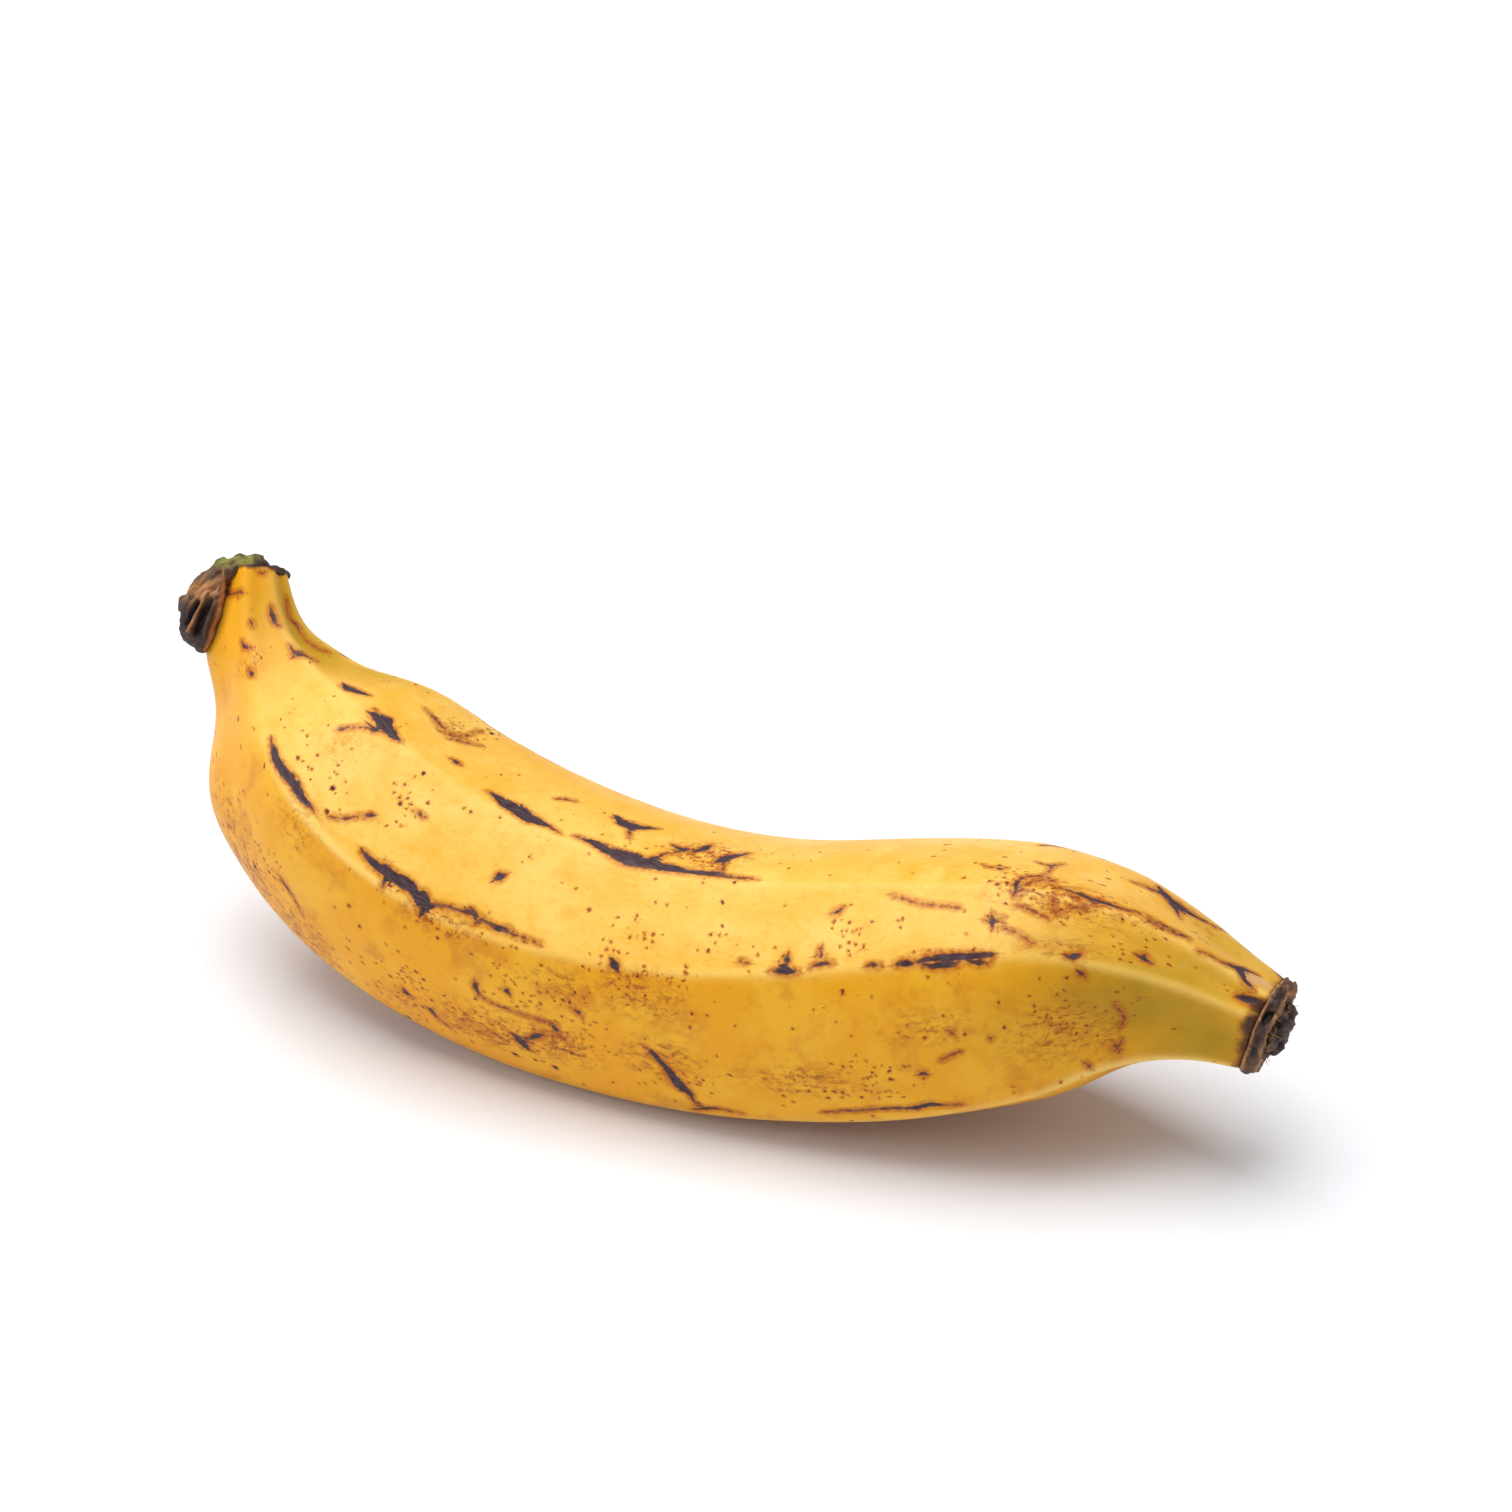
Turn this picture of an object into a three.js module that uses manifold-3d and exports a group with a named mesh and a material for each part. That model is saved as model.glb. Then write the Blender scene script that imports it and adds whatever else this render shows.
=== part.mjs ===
// A ripe plantain: one grown fruit with its neck, the torn crown stub and the dried blossom end.
// Millimetres, +Z up. The neck is at low X and the blossom end at high X. The bend lies in a plane
// through X that leans back towards +Y. The underside has a small flat spot to rest on.
import * as THREE from 'three';
import { mergeVertices } from 'three/addons/utils/BufferGeometryUtils.js';
import Module from 'manifold-3d';

// Overall
const LENGTH = 240; // along the middle of the fruit, from the top of the neck to the collar
const LEAN = 33; // degrees that the plane of the bend leans back from upright
const START = [-102.75, 25.69, 72.18]; // middle of the neck's top
const FLAT_SPOT_DEPTH = 1.0; // how far the underside is worn flat

// Share of the length, then the run of the fruit in its plane: degrees above level
const BEND = [
  [0.0, -76], [0.04, -74], [0.08, -60], [0.12, -52], [0.18, -37], [0.26, -26], [0.34, -16.5],
  [0.43, -8], [0.53, 0], [0.62, 8], [0.7, 13], [0.78, 15], [0.84, 12], [0.9, -1], [0.95, -10],
  [1.0, -14],
];
// Share of the length, then the radius out to the ridges
const RADIUS = [
  [0.0, 6.2], [0.03, 7.4], [0.06, 9.8], [0.1, 14.2], [0.15, 21.0], [0.21, 25.9], [0.29, 27.6],
  [0.39, 27.7], [0.5, 27.3], [0.62, 27.3], [0.73, 27.4], [0.82, 25.0], [0.875, 20.4],
  [0.925, 15.2], [0.965, 11.5], [1.0, 9.2],
];
// The five ridges in order round the section: share of the length, then degrees round it,
// 0 towards the front and 90 up
const RIDGES = {
  front: [
    [0, 40], [0.08, 40], [0.14, 36], [0.22, 30], [0.35, 27], [0.5, 32], [0.65, 38], [0.8, 41],
    [0.9, 38], [1, 38],
  ],
  upper: [[0, 86], [0.1, 86], [0.2, 82], [0.35, 77], [0.6, 76], [0.8, 72], [1, 70]],
  back: [[0, 122], [0.12, 122], [0.25, 130], [0.5, 138], [0.8, 140], [1, 140]],
  under: [[0, 206], [0.5, 224], [0.8, 226], [1, 220]],
  low: [[0, 302], [0.3, 306], [0.5, 314], [0.8, 330], [0.9, 334], [1, 318]],
};
// Share of the length, then how flat the faces between the ridges are, 0 for a round section
// and 1 for a straight-sided one, and how far they hollow as a share of the radius
const FLATNESS = [[0, 0.6], [0.2, 0.5], [0.8, 0.5], [1, 0.6]];
const HOLLOW = [[0, 0.05], [0.1, 0.04], [0.2, 0.0], [0.78, 0.0], [0.9, 0.05], [1, 0.06]];
const RIDGE_SOFTNESS = 0.2; // share of half a face over which a ridge is rounded
// Where the fruit swells or sinks past its even section: share of the length, degrees round it,
// then half length, half width and height in mm
const SWELLS = [
  [0.085, 124, 16, 9, 1.9], [0.17, 130, 22, 12, 1.3], [0.3, 132, 34, 14, 1.2], [0.46, 134, 34, 14, 1.1],
  [0.045, 318, 7, 7, 2.9], [0.1, 316, 7, 8, -0.9], [0.145, 314, 9, 11, 1.8], [0.07, 105, 14, 4.5, -0.9],
  [0.875, 304, 12, 10, 2.9], [0.81, 306, 12, 10, 0.8],
];

// The dried blossom end, in order from the peel: how far past it, and the radius
const BLOSSOM = [
  [0.1, 8.8], [0.8, 9.1], [1.7, 9.1], [2.5, 8.7], [2.9, 7.9], [2.8, 7.1], [2.3, 6.4],
  [2.4, 5.9], [3.6, 5.7], [5.0, 5.2], [6.1, 4.0], [6.8, 2.2],
];
const BLOSSOM_LENGTH = 7.0;

// The torn crown, one mass of lumps that run into each other: the big one on the outer flank of
// the neck, the shoulder above it, and the thin crest over the neck's top with its low far end.
// at: sideways to the outer flank, towards the front, and down from the neck's top
const CROWN_LUMPS = [
  { at: [8.0, 0.2, 6.8], size: [6.8, 7.4, 8.6], tilt: 24, rough: 1.0 },
  { at: [7.6, 0.0, 1.4], size: [5.4, 5.8, 3.6], tilt: -24, rough: 0.6 },
  { at: [2.2, -0.3, -0.4], size: [6.6, 5.8, 3.6], tilt: -4, rough: 0.8 },
  { at: [-3.2, -0.2, 0.2], size: [3.8, 5.4, 1.8], tilt: 6, rough: 0.5 },
];
const OUTER_FLANK = 317; // degrees round the section that face the flank with the lump

// Meshing
const RINGS = 60;
const STEPS_PER_FACE = 8;
const LUMP_DETAIL = 4;

const PEEL = { color: 0xe9b02f, roughness: 0.45, metalness: 0.0 };

const rad = (deg) => (deg * Math.PI) / 180;

// Smooth curve through rows of [x, y]; its slope at a row is that between the row's neighbours
function table(rows, x) {
  const last = rows.length - 1;
  const slope = (i) => {
    const a = rows[Math.max(i - 1, 0)];
    const b = rows[Math.min(i + 1, last)];
    return (b[1] - a[1]) / (b[0] - a[0]);
  };
  let i = 0;
  while (i < last - 1 && x > rows[i + 1][0]) i += 1;
  const width = rows[i + 1][0] - rows[i][0];
  const u = (x - rows[i][0]) / width;
  const u2 = u * u;
  const u3 = u2 * u;
  return (2 * u3 - 3 * u2 + 1) * rows[i][1] + (u3 - 2 * u2 + u) * width * slope(i)
    + (3 * u2 - 2 * u3) * rows[i + 1][1] + (u3 - u2) * width * slope(i + 1);
}

// The middle line, with the direction it runs in and the section's front and up directions
function makeSpine() {
  const steps = 1000;
  const lean = rad(LEAN);
  const level = new THREE.Vector3(1, 0, 0);
  const rise = new THREE.Vector3(0, Math.sin(lean), Math.cos(lean));
  const side = new THREE.Vector3(0, -Math.cos(lean), Math.sin(lean));
  const runAt = (share) => {
    const a = rad(table(BEND, share));
    return level.clone().multiplyScalar(Math.cos(a)).addScaledVector(rise, Math.sin(a));
  };
  const points = [new THREE.Vector3(...START)];
  for (let i = 1; i <= steps; i += 1) {
    const run = runAt((i - 0.5) / steps);
    points.push(points[i - 1].clone().addScaledVector(run, LENGTH / steps));
  }
  return (share) => {
    const run = runAt(share);
    const inner = new THREE.Vector3().crossVectors(side, run);
    if (inner.dot(rise) < 0) inner.negate();
    const front = side.clone().multiplyScalar(Math.cos(lean)).addScaledVector(inner, -Math.sin(lean));
    const up = side.clone().multiplyScalar(Math.sin(lean)).addScaledVector(inner, Math.cos(lean));
    const centre = points[Math.round(share * steps)].clone();
    return { centre, run, front, up };
  };
}

// How far the fruit swells past its even section there, in mm
function swell(share, angle) {
  return SWELLS.reduce((sum, [at, degrees, long, wide, height]) => {
    const turn = Math.atan2(Math.sin(angle - rad(degrees)), Math.cos(angle - rad(degrees)));
    const along = ((share - at) * LENGTH) / long;
    const around = (turn * table(RADIUS, share)) / wide;
    return sum + height * Math.exp(-(along ** 2) - around ** 2);
  }, 0);
}

// The section's outline at a share of the length, as a list of [angle, radius] from ridge to ridge
function outline(share) {
  const ridges = Object.values(RIDGES).map((rows) => rad(table(rows, share)));
  const points = [];
  ridges.forEach((from, k) => {
    const half = ((k < 4 ? ridges[k + 1] : ridges[0] + 2 * Math.PI) - from) / 2;
    for (let j = 0; j < STEPS_PER_FACE; j += 1) {
      const w = j / STEPS_PER_FACE;
      const off = (2 * w - 1) * half;
      const inward = 1 - Math.abs(2 * w - 1);
      const chord = 1 - Math.cos(half) / Math.cos(off);
      const round = (inward * (1 + RIDGE_SOFTNESS)) / (inward + RIDGE_SOFTNESS);
      const dip = table(FLATNESS, share) * chord * round
        + table(HOLLOW, share) * Math.sin(Math.PI * w) ** 2;
      const angle = from + half + off;
      points.push([angle, table(RADIUS, share) * (1 - dip) + swell(share, angle)]);
    }
  });
  return points;
}

function place(frame, angle, radius, along = 0) {
  return frame.centre.clone()
    .addScaledVector(frame.run, along)
    .addScaledVector(frame.front, radius * Math.cos(angle))
    .addScaledVector(frame.up, radius * Math.sin(angle));
}

// Rings of the peel, from the top of the neck to the blossom end
function peelRings(spine) {
  const rings = [];
  for (let i = 0; i <= RINGS; i += 1) {
    const frame = spine(i / RINGS);
    rings.push(outline(i / RINGS).map(([angle, radius]) => place(frame, angle, radius)));
  }
  return rings;
}

// Rings of the lumpy dried collar and of the knob inside it
function blossomRings(spine) {
  const frame = spine(1);
  const end = outline(1);
  const mean = end.reduce((sum, point) => sum + point[1], 0) / end.length;
  return BLOSSOM.map(([along, radius], i) => {
    const rough = Math.min(1, i / 2) * 0.045;
    return end.map(([angle, reach]) => {
      const lobes = Math.sin(5 * angle + 0.6) + 0.7 * Math.sin(8 * angle + 2 * i);
      const pentagon = 1 + (reach / mean - 1) * (1 - i / BLOSSOM.length);
      return place(frame, angle, radius * pentagon * (1 + rough * lobes), along + 0.2 * rough * lobes);
    });
  });
}

// A closed skin over a list of rings, with a point at each end
function skin(rings, first, last) {
  const around = rings[0].length;
  const points = [first, ...rings.flat(), last];
  const at = (ring, step) => 1 + ring * around + (step % around);
  const index = [];
  for (let j = 0; j < around; j += 1) {
    index.push(0, at(0, j + 1), at(0, j));
    index.push(points.length - 1, at(rings.length - 1, j), at(rings.length - 1, j + 1));
    for (let i = 0; i < rings.length - 1; i += 1) {
      index.push(at(i, j), at(i, j + 1), at(i + 1, j + 1));
      index.push(at(i, j), at(i + 1, j + 1), at(i + 1, j));
    }
  }
  return { points, index };
}

// A rounded, folded lump of dry tissue beside the neck
function lump(spine, { at, size, tilt, rough }) {
  const frame = spine(0);
  const flank = place(frame, rad(OUTER_FLANK), 1).sub(frame.centre);
  const facing = place(frame, rad(OUTER_FLANK + 90), 1).sub(frame.centre);
  const centre = frame.centre.clone()
    .addScaledVector(flank, at[0]).addScaledVector(facing, at[1]).addScaledVector(frame.run, at[2]);
  const across = flank.clone().applyAxisAngle(facing, rad(tilt));
  const down = frame.run.clone().applyAxisAngle(facing, rad(tilt));
  const ball = new THREE.IcosahedronGeometry(1, LUMP_DETAIL).getAttribute('position');
  const seen = new Map();
  const points = [];
  const index = [];
  for (let i = 0; i < ball.count; i += 1) {
    const n = new THREE.Vector3().fromBufferAttribute(ball, i).normalize();
    const key = n.toArray().map((v) => Math.round(v * 1e4)).join();
    if (!seen.has(key)) {
      const folds = Math.sin(6 * n.z - 4 * n.x + 1) * Math.sin(3 * n.y + 0.5)
        + 0.6 * Math.sin(9 * n.y + 5 * n.x) + 0.5 * Math.sin(8 * n.x + 2);
      const out = 1 + 0.05 * rough * folds;
      seen.set(key, points.length);
      points.push(centre.clone()
        .addScaledVector(across, n.x * out * size[0])
        .addScaledVector(facing, n.y * out * size[1])
        .addScaledVector(down, n.z * out * size[2]));
    }
    index.push(seen.get(key));
  }
  return { points, index };
}

// A slab with its top at a height, that takes the lowest part of the underside off
function slab(top) {
  const box = mergeVertices(new THREE.BoxGeometry(LENGTH, LENGTH, 10).deleteAttribute('normal').deleteAttribute('uv'));
  box.translate(0, 0, top - 5);
  const corners = box.getAttribute('position');
  const points = Array.from({ length: corners.count }, (_, i) => new THREE.Vector3().fromBufferAttribute(corners, i));
  return { points, index: Array.from(box.getIndex().array) };
}

// Signed volume, so that every skin is handed on facing outwards
function volume({ points, index }) {
  let sum = 0;
  for (let i = 0; i < index.length; i += 3) {
    const [a, b, c] = [points[index[i]], points[index[i + 1]], points[index[i + 2]]];
    sum += a.dot(new THREE.Vector3().crossVectors(b, c)) / 6;
  }
  return sum;
}

function toSolid(Manifold, Mesh, shape) {
  const flip = volume(shape) < 0;
  const index = [];
  for (let i = 0; i < shape.index.length; i += 3) {
    const [a, b, c] = shape.index.slice(i, i + 3);
    index.push(...(flip ? [a, c, b] : [a, b, c]));
  }
  const mesh = new Mesh({
    numProp: 3,
    vertProperties: new Float32Array(shape.points.flatMap((p) => p.toArray())),
    triVerts: new Uint32Array(index),
  });
  return new Manifold(mesh);
}

function toGeometry(solid) {
  const mesh = solid.getMesh();
  const geometry = new THREE.BufferGeometry();
  geometry.setAttribute('position', new THREE.BufferAttribute(new Float32Array(mesh.vertProperties), 3));
  geometry.setIndex(new THREE.BufferAttribute(new Uint32Array(mesh.triVerts), 1));
  geometry.computeVertexNormals();
  return geometry;
}

async function makePart() {
  const wasm = await Module();
  wasm.setup();
  const { Manifold, Mesh } = wasm;
  const spine = makeSpine();
  const tip = spine(1);
  const rings = [...peelRings(spine), ...blossomRings(spine)];
  const body = skin(rings, spine(0).centre, place(tip, 0, 0, BLOSSOM_LENGTH));
  let grown = toSolid(Manifold, Mesh, body);
  for (const spec of CROWN_LUMPS) {
    grown = grown.add(toSolid(Manifold, Mesh, lump(spine, spec)));
  }
  const rested = grown.subtract(toSolid(Manifold, Mesh, slab(grown.boundingBox().min[2] + FLAT_SPOT_DEPTH)));
  const mesh = new THREE.Mesh(toGeometry(rested), new THREE.MeshStandardMaterial(PEEL));
  mesh.name = 'plantain';
  const group = new THREE.Group();
  group.name = 'plantain_part';
  group.add(mesh);
  return group;
}

export default await makePart();
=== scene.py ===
"""A ripe plantain lying on its curved underside.

Four pieces in metres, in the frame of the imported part: the five-ridged peel, the torn crown stub on the
neck, the dried blossom end and its loose fibres. Place on the peel is given as a share of the length in
percent (0 at the neck, 100 at the blossom end) and an angle round the section in degrees (0 faces the
front, 90 faces up).
"""
import math
from functools import partial, reduce

import bmesh
import bpy
import numpy as np
from bpy.props import FloatProperty, FloatVectorProperty, IntProperty, PointerProperty
from mathutils import Matrix, Vector, noise


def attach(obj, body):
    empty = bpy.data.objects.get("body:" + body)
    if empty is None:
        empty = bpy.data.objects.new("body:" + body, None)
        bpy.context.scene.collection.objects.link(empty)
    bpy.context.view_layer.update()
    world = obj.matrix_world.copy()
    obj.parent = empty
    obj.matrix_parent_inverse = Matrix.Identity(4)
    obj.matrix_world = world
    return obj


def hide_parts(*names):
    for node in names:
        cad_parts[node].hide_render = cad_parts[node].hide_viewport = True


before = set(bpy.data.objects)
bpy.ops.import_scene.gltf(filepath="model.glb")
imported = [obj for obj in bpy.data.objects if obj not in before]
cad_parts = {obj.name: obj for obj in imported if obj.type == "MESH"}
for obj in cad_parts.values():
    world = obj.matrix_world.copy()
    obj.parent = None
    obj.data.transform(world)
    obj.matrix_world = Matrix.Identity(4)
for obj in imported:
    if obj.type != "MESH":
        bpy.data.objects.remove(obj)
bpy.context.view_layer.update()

bl_info = {
    "name": "Ripe plantain",
    "version": (1, 0, 0),
    "blender": (4, 5, 0),
    "location": "3D View > Sidebar > Plantain",
    "description": "Builds a ripe plantain and its plain studio stage",
    "category": "Object",
}

MM = 0.001
CAD_NODE = "plantain"
BODY = "root"
VECTOR, NOISE, RAMP = "ShaderNodeVectorMath", "ShaderNodeTexNoise", "ShaderNodeMapRange"
SMOOTH = {"interpolation_type": "SMOOTHSTEP"}

# The run of the fruit, as in the part's source: share of the length, then degrees above level
LENGTH = 240.0
LEAN = 33.0
START = (-102.75, 25.69, 72.18)
SPINE_STEPS = 1000
BEND = [
    (0, -76), (0.04, -74), (0.08, -60), (0.12, -52), (0.18, -37), (0.26, -26), (0.34, -16.5), (0.43, -8),
    (0.53, 0), (0.62, 8), (0.7, 13), (0.78, 15), (0.84, 12), (0.9, -1), (0.95, -10), (1, -14),
]
# Share of the length, then the radius to the ridges
RADIUS = [
    (0, 6.2), (0.03, 7.4), (0.06, 9.8), (0.1, 14.2), (0.15, 21.0), (0.21, 25.9), (0.29, 27.6), (0.39, 27.7),
    (0.5, 27.3), (0.62, 27.3), (0.73, 27.4), (0.82, 25.0), (0.875, 20.4), (0.925, 15.2), (0.965, 11.5),
    (1, 9.2),
]
# Share of the length, then the angle of each ridge
RIDGES = {
    "front": [
        (0, 40), (0.08, 40), (0.14, 36), (0.22, 30), (0.35, 27), (0.5, 32), (0.65, 38), (0.8, 41), (0.9, 38),
        (1, 38),
    ],
    "upper": [(0, 86), (0.1, 86), (0.2, 82), (0.35, 77), (0.6, 76), (0.8, 72), (1, 70)],
    "back": [(0, 122), (0.12, 122), (0.25, 130), (0.5, 138), (0.8, 140), (1, 140)],
    "under": [(0, 206), (0.5, 224), (0.8, 226), (1, 220)],
    "low": [(0, 302), (0.3, 306), (0.5, 314), (0.8, 330), (0.9, 334), (1, 318)],
}
# Share of the length, then how flat the faces are, and how far they sink in past flat
FLATNESS = [(0, 0.6), (0.2, 0.5), (0.8, 0.5), (1, 0.6)]
HOLLOW = [(0, 0.05), (0.1, 0.04), (0.2, 0), (0.78, 0), (0.9, 0.05), (1, 0.06)]
# Where the fruit swells or sinks past its even section: share of the length, degrees round it, then half
# length, half width and height in mm
SWELLS = [
    (0.085, 124, 16, 9, 1.9), (0.17, 130, 22, 12, 1.3), (0.3, 132, 34, 14, 1.2), (0.46, 134, 34, 14, 1.1),
    (0.045, 318, 7, 7, 2.9), (0.1, 316, 7, 8, -0.9), (0.145, 314, 9, 11, 1.8), (0.07, 105, 14, 4.5, -0.9),
    (0.875, 304, 12, 10, 2.9), (0.81, 306, 12, 10, 0.8),
]
# How clear the crease along each ridge is, and the painted highlight along it: share of the length, then
# strength
CREST = {
    "front": [
        (0, 0), (0.1, 0.1), (0.18, 0.6), (0.22, 1.2), (0.3, 1), (0.42, 0.5), (0.6, 0.6), (0.8, 0.3), (0.9, 0.6),
        (1, 0.5),
    ],
    "upper": [(0, 0.3), (0.1, 0.6), (0.2, 0.3), (0.5, 0.3), (0.85, 0.4), (1, 0.7)],
    "back": [(0, 0.3), (0.1, 0.5), (0.3, 0.4), (0.8, 0.3), (1, 0.6)],
    "under": [(0, 0.3), (0.5, 0.6), (1, 0.6)],
    "low": [(0, 0.2), (0.3, 0.4), (0.6, 0.4), (0.8, 0.6), (0.88, 1), (1, 0.9)],
}
# Half width of a crease, mm
CREASE_WIDTH = 0.95

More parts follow.
